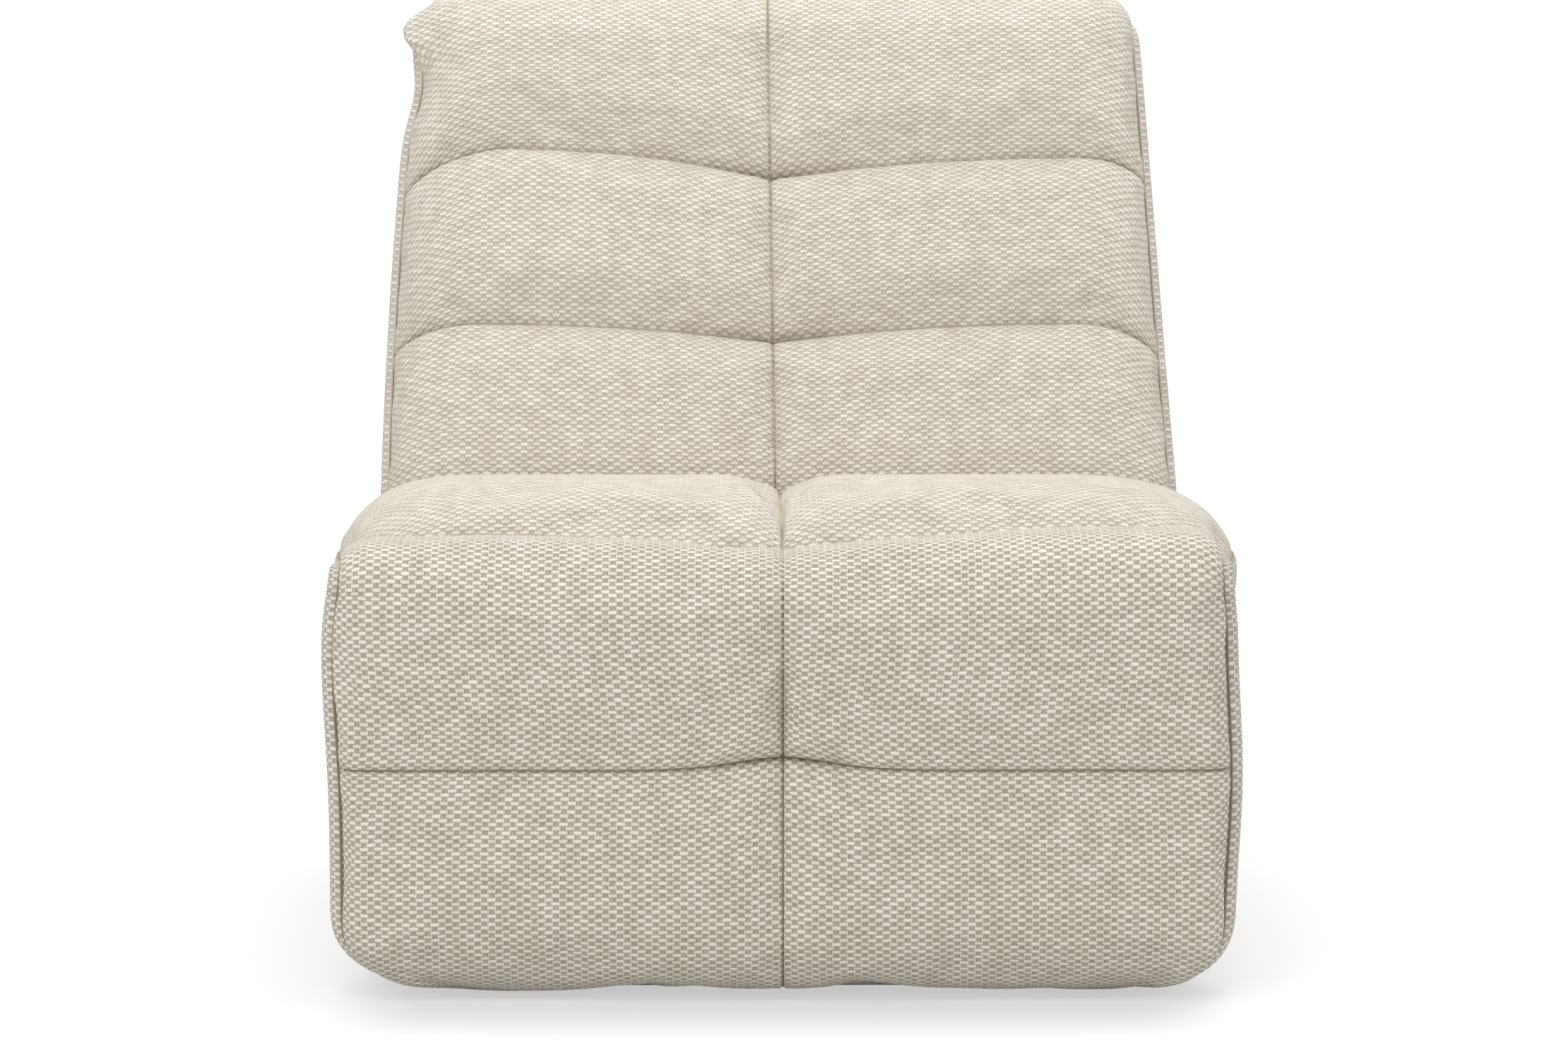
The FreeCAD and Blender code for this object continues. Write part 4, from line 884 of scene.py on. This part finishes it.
def seat():
    path = rounded_path([
        (SEAT_FRONT, SEAT_SEAM, 0),
        (SEAT_REAR, SEAT_SEAM, SEAT_REAR_RADIUS),
        (SEAT_FOOT, SEAT_BOTTOM, 0),
    ])
    end = path_lengths(path)[-1]
    rows = graded([0, end], PAD_STEP)
    middle, along, side_share = face_grid(rows, SEAT_HALF[0])
    on_left = side_share < 0
    corner = np.clip(1 - along / SEAT_CORNER_LONG, 0, 1)
    half = np.where(on_left, *SEAT_HALF)
    half = half - SEAT_CORNER_WIDE * corner * corner
    x = side_share * half
    side = round_edge(half - np.abs(x), np.where(on_left, *SEAT_SIDE_ROLL))
    front = round_edge(along, SEAT_FRONT_ROLL)
    rear = round_edge(end - along, SEAT_REAR_ROLL)
    notch = 1 - SEAT_NOTCH * (1 - round_edge(x, SEAT_NOTCH_HALF))
    dip = 1 - SEAT_DIP * smooth((along - SEAT_DIP_FROM) / SEAT_DIP_LONG)
    points = padded_face(path, along, x, SEAT_SWELL * side * front * rear * notch * dip)
    rear_points = np.stack([x, on_path(path, along)[0][..., 0], np.full_like(x, SEAT_BOTTOM)], axis=-1)
    piece, face = cushion("seat", FABRIC, points, rear_points, [0, 1], SEAT_BULGE, middle, [])
    fill(piece, SEAT_FILL)
    # Pale cords laid in the middle seam and the border are painted seam shade
    lines = [(face[:-SEAM_CORD_INSET, middle], SEAM_DEPTH, STILL), (border_of(face), BORDER_DEPTH, STILL)]
    thread("seat_seam_shade", piece, lines, PALE_SEAM_SHADE, "base")
    sink(piece, np.concatenate([face[:, middle], border_of(face)]), SEAM_SINK)
    finish_soft(piece, "base", ["seat_cushion"])


# Back: three rows of two pillows, in its leaning frame (x, depth, rise)

# Side view: bottom, top, foot, face and rear, and the radii of its corners
BACK_LOW = 0.040
BACK_TOP = 0.606
BACK_FOOT = -0.030
BACK_FACE = -0.066
BACK_REAR = -0.0045
BACK_FOOT_RADIUS = 0.028
BACK_TOP_RADIUS = 0.045
# Outline: half widths at the bottom, how far each is drawn in at the top, and the top corners
BACK_LEFT_LOW = 0.407
BACK_LEFT_DRAW = 0.022
BACK_RIGHT_LOW = 0.4065
BACK_RIGHT_DRAW = 0.028
BACK_CORNER = 0.018
BACK_CORNER_HIGH = 0.034
# The middle seam's way to the left, at the bottom and further up
BACK_DRIFT = 0.004
BACK_DRIFT_GAIN = 0.009
# Swell of the face and of the top roll, and how far from each edge it is full
BACK_SWELL = 0.040
BACK_TOP_SWELL = 0.034
BACK_SIDE_ROLL = 0.050
BACK_FOOT_ROLL = 0.05
BACK_END_ROLL = 0.03
BACK_ROLL = 0.04
BACK_ROLL_LONG = 0.05
BACK_BULGE = (0.008, 0.008)
# Seams: rise of each row, and the pull of the rows, of the tufts on them and of the middle
BACK_SEAMS = (0.214, 0.398)
BACK_ROW_GRADING = 0.65
BACK_ROW_PULL = 0.35
BACK_ROW_ROLL = 0.045
BACK_TUFT_PULL = 0.24
BACK_TUFT_WIDE = 0.07
BACK_MIDDLE_PULL = 0.20
BACK_MIDDLE_ROLL = 0.032
BACK_MIDDLE_FADE = 0.1
BACK_FILL = 0.006
BACK_SEAM_DEPTH = 0.0021
BACK_BORDER_DEPTH = 0.0018
BACK_SEAM_SINK = 0.0026
BACK_BORDER_SINK = 0.0035
BACK_SEAM_CORD_STOP = 6
# Each seam: crest height and place, and height at the edge, on the left and on the right
SEAM_ARCHES = (
    ((0.018, 0.31, -0.012), (0.018, 0.31, -0.015)),
    ((0.032, 0.276, -0.016), (0.022, 0.31, 0.0)),
)
ARCH_ROUND = 0.9
# Knob of loose cloth that hangs out over the seam at the top left, with a fold beside it
EAR_AT = 0.560
EAR_OUT = 0.035
EAR_TALL = 0.0175
EAR_WIDE = 0.042
EAR_FOLD = 0.007
EAR_FOLD_AT = 0.031
EAR_FOLD_WIDE = 0.007
EAR_NECK = 0.009
EAR_NECK_AT = 0.520
EAR_NECK_TALL = 0.040


def back_half(rise, side_share):
    """Half width of the back at a rise, on the left or the right of its middle."""
    share = np.clip((rise - BACK_LOW) / (BACK_TOP - BACK_LOW), 0, 1)
    left = BACK_LEFT_LOW - BACK_LEFT_DRAW * share ** 2
    left = left - EAR_NECK * hill(rise - EAR_NECK_AT, EAR_NECK_TALL)
    right = BACK_RIGHT_LOW - BACK_RIGHT_DRAW * share
    corner = np.clip((rise - BACK_TOP + BACK_CORNER_HIGH) / BACK_CORNER_HIGH, 0, 1)
    return np.where(side_share < 0, left, right) - BACK_CORNER * (1 - np.sqrt(1 - corner * corner))


def arch(x, half, sides):
    """How far a sewn row is lifted above its middle, across the back."""
    lifts = []
    for crest, crest_at, edge in sides:
        rise = crest * np.sin(np.clip(np.abs(x) / crest_at, 0, 1) * math.pi / 2) ** ARCH_ROUND
        fall = (crest - edge) * np.clip((np.abs(x) - crest_at) / (half - crest_at), 0, 1) ** 2
        lifts.append(rise - fall)
    return np.where(x < 0, lifts[0], lifts[1])


def back():
    path = rounded_path([
        (BACK_FOOT, BACK_LOW, 0),
        (BACK_FACE, BACK_LOW, BACK_FOOT_RADIUS),
        (BACK_FACE, BACK_TOP, BACK_TOP_RADIUS),
        (BACK_REAR, BACK_TOP, 0),
    ])
    end = path_lengths(path)[-1]
    seams = [length_at(path, BACK_TOP, rise) for rise in BACK_SEAMS]
    roll_at = length_at(path, BACK_TOP, BACK_TOP - BACK_ROLL)
    stops = [0] + seams + [end]
    rows = graded(stops, PAD_STEP, BACK_ROW_GRADING)
    middle, along, side_share = face_grid(rows, BACK_LEFT_LOW)
    seam_rows = [nearest(rows, seam) for seam in seams]
    rise = on_path(path, along)[0][..., 1]
    half = back_half(rise, side_share)
    drift = -BACK_DRIFT - BACK_DRIFT_GAIN * along / end
    x = side_share * half + drift * (1 - np.abs(side_share))
    from_left = (1 + side_share) * half
    ear = np.exp(-((rise - EAR_AT) / EAR_TALL) ** 4)
    knob = ear * np.sin(np.clip(from_left / EAR_WIDE, 0, 1) * math.pi)
    fold = ear * hill(from_left - EAR_FOLD_AT, EAR_FOLD_WIDE)
    for sides, seam in zip(SEAM_ARCHES, seams):
        near_seam = np.interp(rows, stops, [float(stop == seam) for stop in stops])
        along = along + arch(side_share * half, half, sides) * near_seam[:, None]

    side = round_edge(half - np.abs(side_share) * half, BACK_SIDE_ROLL)
    foot = round_edge(along, BACK_FOOT_ROLL)
    tuft = hill(x - drift, BACK_TUFT_WIDE)
    fade = smooth((end - along) / BACK_MIDDLE_FADE)
    pull = 1 - BACK_MIDDLE_PULL * (1 - round_edge(x - drift, BACK_MIDDLE_ROLL)) * fade
    row_pull = BACK_ROW_PULL + BACK_TUFT_PULL * tuft
    for row in seam_rows:
        from_seam = along - along[row][None, :]
        pull = pull * (1 - row_pull * (1 - round_edge(from_seam, BACK_ROW_ROLL)))
    swell = BACK_SWELL + (BACK_TOP_SWELL - BACK_SWELL) * smooth((along - roll_at) / BACK_ROLL_LONG)
    swell = swell * round_edge(end - along, BACK_END_ROLL) * side * foot * pull
    x = x - EAR_OUT * knob
    swell = swell - EAR_FOLD * fold
    points = padded_face(path, along, x, swell)
    rear_points = np.stack([side_share * half, np.full_like(x, BACK_REAR), rise], axis=-1)
    piece, face = cushion("back", FABRIC, points, rear_points, [0, 2], BACK_BULGE, middle, seam_rows, lean)
    fill(piece, BACK_FILL)
    # Pale cords laid in the seams and the border are painted seam shade
    lines = [(face[row, SEAM_CORD_INSET:-SEAM_CORD_INSET], BACK_SEAM_DEPTH, UPWARD) for row in seam_rows]
    lines.append((face[:-BACK_SEAM_CORD_STOP, middle], BACK_SEAM_DEPTH, SIDEWAYS))
    lines.append((border_of(face), BACK_BORDER_DEPTH, STILL))
    thread("back_seam_shade", piece, lines, PALE_SEAM_SHADE, "backrest")
    sink(piece, np.concatenate([face[row] for row in seam_rows] + [face[:, middle]]), BACK_SEAM_SINK)
    sink(piece, border_of(face), BACK_BORDER_SINK)
    finish_soft(piece, "backrest", ["back_cushion"])


# Cover over the back's frame: one dished panel with rolled edges, and the piping in its seam

COVER_STEP = 0.014
COVER_GRADING = 0.8
COVER_LOW = 0.032
COVER_TOP = 0.612
COVER_RIM = -0.0035
COVER_EDGE = 0.040
COVER_DOME = 0.0105
COVER_SIDE_ROLL = 0.022
COVER_TOP_ROLL = 0.030
COVER_FOOT_ROLL = 0.014
COVER_WALL = 0.009
PIPING_RADIUS = 0.0036
PIPING_STEP = 0.006


def back_cover():
    rows = graded([COVER_LOW, COVER_TOP], COVER_STEP, COVER_GRADING)
    columns = graded([-1, 1], COVER_STEP / BACK_LEFT_LOW, COVER_GRADING)
    rise, side_share = over_grid(rows, columns)
    share = (rise - COVER_LOW) / (COVER_TOP - COVER_LOW)
    half = back_half(rise, side_share)
    x = side_share * half
    edge = round_edge(half - np.abs(x), COVER_SIDE_ROLL)
    edge = edge * round_edge(COVER_TOP - rise, COVER_TOP_ROLL) * round_edge(rise - COVER_LOW, COVER_FOOT_ROLL)
    dome = (1 - side_share ** 4) * (1 - (2 * share - 1) ** 4)
    depth = COVER_RIM + COVER_EDGE * edge + COVER_DOME * dome
    points = np.stack([x, depth, rise], axis=-1)
    flat = flat_lengths(points, nearest(columns, 0))
    panel = loose(lean(points), flat)._replace(seam_rows=EDGES, seam_columns=EDGES)
    piece, _ = sew("back_cover", [panel], FABRIC)
    thicken(piece, COVER_WALL)
    finish_soft(piece, "backrest", ["outer_back_cover"])
    rim = np.concatenate([panel.points[:, 0], panel.points[-1, 1:-1], panel.points[::-1, -1]])
    cord = tube(resampled(rim, PIPING_STEP), PIPING_RADIUS, sides=12)
    piping, _ = sew("back_piping", [cord], FABRIC)
    finish_plain(piping, "backrest")


# Padded panels on the base

BOARD_GRADING = 0.7
BOARD_ROLL = 0.020
BOARD_DOME = 0.13
BOARD_SINK = 0.001
BOARD_STRIP_ROWS = 4


def board_panel(name, board, axis, inner, outer, swell, replaced):
    """A padded panel on a board: its face swells along one axis from outer, and its rear lies at inner."""
    points = board.copy()
    middle = points.shape[1] // 2
    up = grid_lengths(board, 0)
    across = grid_lengths(board, 1)
    edge = 1
    dome = 1
    for distance in (up, up[-1] - up, across, across[:, [-1]] - across):
        edge = edge * round_edge(distance, BOARD_ROLL)
        dome = dome * smooth(distance / BOARD_DOME)
    points[..., axis] = outer + swell[0] * edge + swell[1] * dome
    rear = board.copy()
    rear[..., axis] = inner
    held = np.zeros(points.shape[:2], bool)

    def loop(grid):
        return np.concatenate([border_of(grid), grid[-1, ::-1][1:]])

    panels = [
        Panel(points, flat_lengths(points, middle), held, EDGES, EDGES),
        Panel(rear, flat_lengths(rear, middle), held, EDGES, EDGES),
        strip(loop(points), loop(rear), np.zeros((len(loop(rear)), 3)), BOARD_STRIP_ROWS),
    ]
    piece, numbers = sew(name, panels, FABRIC)
    sink(piece, loop(numbers[0]), BOARD_SINK)
    finish_soft(piece, "base", [replaced])


# Side panels: bottom and top, the slope of the top at the rear, inner and outer face, and swell
SIDE_LOW = 0.030
SIDE_HIGH = 0.3435
SIDE_SLOPE_Y = (0.217, 0.247)
SIDE_SLOPE_Z = (SIDE_HIGH, 0.2775)
SIDE_INNER = 0.3625
SIDE_OUTER = 0.374
SIDE_SWELL = (0.020, 0.005)


def side_panels():
    low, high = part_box("side_panel_left")
    along = graded([low.y, high.y], COVER_STEP, BOARD_GRADING)
    up = graded([0, 1], COVER_STEP / (SIDE_HIGH - SIDE_LOW), BOARD_GRADING)
    share, y = over_grid(up, along)
    top = np.interp(y, SIDE_SLOPE_Y, SIDE_SLOPE_Z)
    board = np.stack([np.zeros_like(y), y, SIDE_LOW + (top - SIDE_LOW) * share], axis=-1)
    for name, side in (("left", -1), ("right", 1)):
        inner = side * SIDE_INNER
        outer = side * SIDE_OUTER
        swell = [side * step for step in SIDE_SWELL]
        board_panel(f"side_cover_{name}", board, 0, inner, outer, swell, f"side_panel_{name}")


REAR_INNER = 0.2825
REAR_OUTER = 0.290
REAR_SWELL = (0.017, 0.005)


def rear_cover():
    low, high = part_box("rear_panel")
    across = graded([low.x, high.x], COVER_STEP, BOARD_GRADING)
    up = graded([low.z, high.z], COVER_STEP, BOARD_GRADING)
    z, x = over_grid(up, across)
    board = np.stack([x, np.zeros_like(x), z], axis=-1)
    board_panel("rear_cover", board, 1, REAR_INNER, REAR_OUTER, REAR_SWELL, "rear_panel")


# Flap of cloth between the rear panel and the foot of the back's cover

FLAP_HALF = 0.372
FLAP_LOW = (0.2865, 0.266)
FLAP_HIGH = (0.2690, 0.346)
FLAP_SAG = 0.006
FLAP_WALL = 0.0025
FLAP_ROWS = 13
FLAP_COLUMNS = 61


def rear_flap():
    rows = np.linspace(0, 1, FLAP_ROWS)
    columns = np.linspace(-1, 1, FLAP_COLUMNS)
    up, side_share = over_grid(rows, columns)
    x = FLAP_HALF * side_share
    y = FLAP_LOW[0] + (FLAP_HIGH[0] - FLAP_LOW[0]) * up - FLAP_SAG * np.sin(math.pi * up)
    z = FLAP_LOW[1] + (FLAP_HIGH[1] - FLAP_LOW[1]) * up
    points = np.stack([x, y, z], axis=-1)
    flat = flat_lengths(points, FLAP_COLUMNS // 2)
    piece, _ = sew("rear_flap", [loose(points, flat)], FABRIC)
    thicken(piece, FLAP_WALL)
    piece.data.shade_smooth()
    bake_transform(piece)


# Straps of the back: sag, closed ends, squareness of the section, and points along and around

STRAP_SAG = 0.003
STRAP_END = 0.02
STRAP_SQUARE = 0.2
STRAP_STEPS = 31
STRAP_SIDES = 25


def back_straps():
    """Elastic straps between the posts, rounded at their edges and pressed back a little."""
    corners = read_points(frame["nodes"]["back_webbing"], "co")
    y = corners[:, 1] - BACK_PIVOT[0]
    z = corners[:, 2] - BACK_PIVOT[1]
    rises = np.cos(BACK_LEAN) * z + np.sin(BACK_LEAN) * y
    depths = np.cos(BACK_LEAN) * y - np.sin(BACK_LEAN) * z
    levels = np.unique(np.round(rises, 4))
    half = corners[:, 0].max()
    thick = (depths.max() - depths.min()) / 2
    angle = np.linspace(0, 2 * math.pi, STRAP_SIDES)[None, :]
    share = np.linspace(-1, 1, STRAP_STEPS)[:, None]
    closed = round_edge(1 - np.abs(share), STRAP_END)
    across = np.sign(np.cos(angle)) * np.abs(np.cos(angle)) ** STRAP_SQUARE
    through = np.sign(np.sin(angle)) * np.abs(np.sin(angle)) ** STRAP_SQUARE
    sagged = depths.mean() + thick * through * closed + STRAP_SAG * (1 - share ** 2)
    x = np.broadcast_to(half * share, sagged.shape)
    panels = []
    for low, high in zip(levels[::2], levels[1::2]):
        rise = (low + high) / 2 + (high - low) / 2 * across * closed
        flat = np.stack([x, rise], axis=-1)
        panels.append(loose(lean(np.stack([x, sagged, rise], axis=-1)), flat))
    piece, _ = sew("back_straps", panels, strap_weave("strap_weave"))
    finish_plain(piece, "backrest")
    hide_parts("back_webbing")


# Return springs: radii of the wire, coil and hooks, pitch in wire widths, points in a turn and in a hook

SPRING_WIRE = 0.0012
SPRING_COIL = 0.0068
HOOK_COIL = 0.0068
SPRING_PITCH = 1.06
COIL_POINTS = 14
HOOK_POINTS = 32
HOOK_LEAD = 0.001


def middle_of(node):
    low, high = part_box(node)
    return (low + high) / 2


def return_springs():
    """Closed coils of wire with a round hook at each end, from the links' pins to the anchors."""
    start = np.array(middle_of("spring_pins"))
    end = np.array(middle_of("spring_anchor_pins"))
    for side in ("left", "right"):
        start[0] = end[0] = middle_of(f"return_spring_{side}").x
        ahead = unit(end - start)
        across = np.array([1.0, 0, 0])
        upward = np.cross(ahead, across)
        coil_from = start + ahead * 2 * HOOK_COIL
        length = np.linalg.norm(end - start) - 4 * HOOK_COIL
        turns = round(length / (2 * SPRING_WIRE * SPRING_PITCH))
        angle = np.linspace(0, 2 * math.pi * turns, COIL_POINTS * turns)[:, None]
        ring = SPRING_COIL * (across * np.cos(angle) + upward * np.sin(angle))
        coil = coil_from + ahead * length * angle / angle[-1] + ring
        turn = np.linspace(0, 2 * math.pi, HOOK_POINTS)[:, None]
        hooks = [
            at + HOOK_COIL * way * (upward * np.sin(turn) + ahead * np.cos(turn))
            for at, way in ((start, 1), (end, -1))
        ]
        path = np.concatenate([hooks[0][::-1], coil_from[None] + ahead * HOOK_LEAD, coil, hooks[1]])
        piece, _ = sew(f"spring_coil_{side}", [tube(path, SPRING_WIRE, sides=6)], WIRE)
        piece.data.shade_smooth()
        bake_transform(piece)
        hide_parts(f"return_spring_{side}")


# Dust cloth under the base

DUST_SAG = 0.006
DUST_COLUMNS = 41
DUST_ROWS = 31


def dust_cloth():
    """Thin cloth, held at its edges and sagging a little between them."""
    low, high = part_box("dust_cover")
    x, y = np.meshgrid(np.linspace(low.x, high.x, DUST_COLUMNS), np.linspace(low.y, high.y, DUST_ROWS))
    dip = 1 - np.linspace(-1, 1, DUST_COLUMNS)[None, :] ** 4
    dip = dip * (1 - np.linspace(-1, 1, DUST_ROWS)[:, None] ** 4)
    points = np.stack([x, y, low.z - DUST_SAG * dip], axis=-1)
    flat = flat_lengths(points, DUST_COLUMNS // 2)
    piece, _ = sew("dust_cloth", [loose(points, flat)], felted_cloth("felted_cloth"))
    thicken(piece, high.z - low.z)
    piece.data.shade_smooth()
    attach(piece, "base")
    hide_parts("dust_cover")


# Stage, light and camera

# Floor: reach, tone for light and for the eye, and its glow from near to far
FLOOR_REACH = 60.0
FLOOR_TONE = (0.80, 0.80, 0.80, 1)
FLOOR_SEEN_TONE = (0.46, 0.46, 0.46, 1)
FLOOR_NEAR = 0.6
FLOOR_FAR = 4.0
GLOW_NEAR = 0.54
GLOW_FAR = 0.84
# Painted shadow on the floor in front of the chair, taken off the floor's glow and fixed there at every pose:
# how dark, where along Y it ends, and its half width
PAINTED_SHADE = 0.17
PAINTED_SHADE_FRONT = -0.70
PAINTED_SHADE_DARKEST = -0.525
PAINTED_SHADE_REAR = -0.455
PAINTED_SHADE_HALF = (0.31, 0.42)
WHITE = (1, 1, 1, 1)
SKY = (1.0, 0.995, 0.985, 1)
SKY_STRENGTH = 0.69
LAMP_SIZE = 2.8
LAMP_TARGET = (0, 0.0, 0.40)


def seen_directly(tree):
    """1 for rays from the camera, also by way of a mirror or glass, and 0 for light that falls on things."""
    view = tree.nodes.new("ShaderNodeLightPath")
    seen = view.outputs["Is Camera Ray"]
    for name in ("Is Glossy Ray", "Is Transmission Ray"):
        either = tree.nodes.new("ShaderNodeMath")
        either.operation = "MAXIMUM"
        tree.links.new(seen, either.inputs[0])
        tree.links.new(view.outputs[name], either.inputs[1])
        seen = either.outputs[0]
    return seen


def floor_material():
    """White floor that keeps the shadow of the chair; it glows more where the lamps reach less, and a painted
    shadow lowers its glow in front of the chair.
    """
    make = Nodes("studio_floor")
    distance = make.add("ShaderNodeVectorMath", {"operation": "LENGTH"})
    make.put(distance.inputs[0], make.place())
    glow = make.range(distance.outputs["Value"], FLOOR_NEAR, FLOOR_FAR, GLOW_NEAR, GLOW_FAR)
    split = make.add("ShaderNodeSeparateXYZ", Vector=make.place())
    # Painted shadow: a soft band in front of the chair that lowers the floor's glow
    painted_shadow = make.range(split.outputs["Y"], PAINTED_SHADE_FRONT, PAINTED_SHADE_DARKEST, 0.0, PAINTED_SHADE)
    painted_shadow = make.math("MULTIPLY", painted_shadow, make.range(split.outputs["Y"], PAINTED_SHADE_DARKEST, PAINTED_SHADE_REAR, 1.0, 0.0))
    beside = make.math("ABSOLUTE", split.outputs["X"])
    painted_shadow = make.math("MULTIPLY", painted_shadow, make.range(beside, *PAINTED_SHADE_HALF, 1.0, 0.0))
    glow = make.math("SUBTRACT", glow, painted_shadow)
    seen = seen_directly(make.tree)
    make.surface(Emission_Color=WHITE, Emission_Strength=make.math("MULTIPLY", seen, glow))
    tone = make.mix(seen, FLOOR_TONE, FLOOR_SEEN_TONE)
    return make.surface(Base_Color=tone, Roughness=1.0, Specular_IOR_Level=0.0)


def floor():
    low, high = -FLOOR_REACH, FLOOR_REACH
    mesh = bpy.data.meshes.new("floor")
    mesh.from_pydata([(low, low, 0), (high, low, 0), (high, high, 0), (low, high, 0)], [], [(0, 1, 2, 3)])
    mesh.materials.append(floor_material())
    piece = bpy.data.objects.new("floor", mesh)
    bpy.context.scene.collection.objects.link(piece)


def sky():
    """Soft light from all around, behind a plain white backdrop."""
    world = bpy.data.worlds.new("studio")
    bpy.context.scene.world = world
    world.use_nodes = True
    tree = world.node_tree
    light = tree.nodes["Background"]
    light.inputs["Color"].default_value = SKY
    light.inputs["Strength"].default_value = SKY_STRENGTH
    shown = tree.nodes.new("ShaderNodeBackground")
    shown.inputs["Color"].default_value = WHITE
    shown.inputs["Strength"].default_value = 1.0
    mix = tree.nodes.new("ShaderNodeMixShader")
    tree.links.new(seen_directly(tree), mix.inputs["Fac"])
    tree.links.new(light.outputs[0], mix.inputs[1])
    tree.links.new(shown.outputs[0], mix.inputs[2])
    tree.links.new(mix.outputs[0], tree.nodes["World Output"].inputs["Surface"])


def lamp(name, at, power):
    data = bpy.data.lights.new(name, "AREA")
    data.shape = "SQUARE"
    data.size = LAMP_SIZE
    data.energy = power
    item = bpy.data.objects.new(name, data)
    item.location = at
    item.rotation_euler = (Vector(LAMP_TARGET) - Vector(at)).to_track_quat("-Z", "Y").to_euler()
    bpy.context.scene.collection.objects.link(item)


def camera():
    data = bpy.data.cameras.new("camera")
    data.sensor_width = SENSOR_WIDTH
    data.lens = PHOTO_FOCAL / PHOTO_WIDTH * SENSOR_WIDTH
    item = bpy.data.objects.new("camera", data)
    item.location = CAMERA_AT
    item.rotation_euler = (math.radians(90 - CAMERA_PITCH), 0, math.radians(-CAMERA_YAW))
    bpy.context.scene.collection.objects.link(item)
    bpy.context.scene.camera = item


finish_nodes()
front_pad()
seat()
back()
back_cover()
side_panels()
rear_cover()
rear_flap()
back_straps()
return_springs()
dust_cloth()
sky()
floor()
lamp("key", at=(-1.0, -2.7, 3.0), power=53)
lamp("top", at=(0.4, 0.7, 3.6), power=66)
camera()
bpy.context.scene.view_settings.view_transform = "Standard"
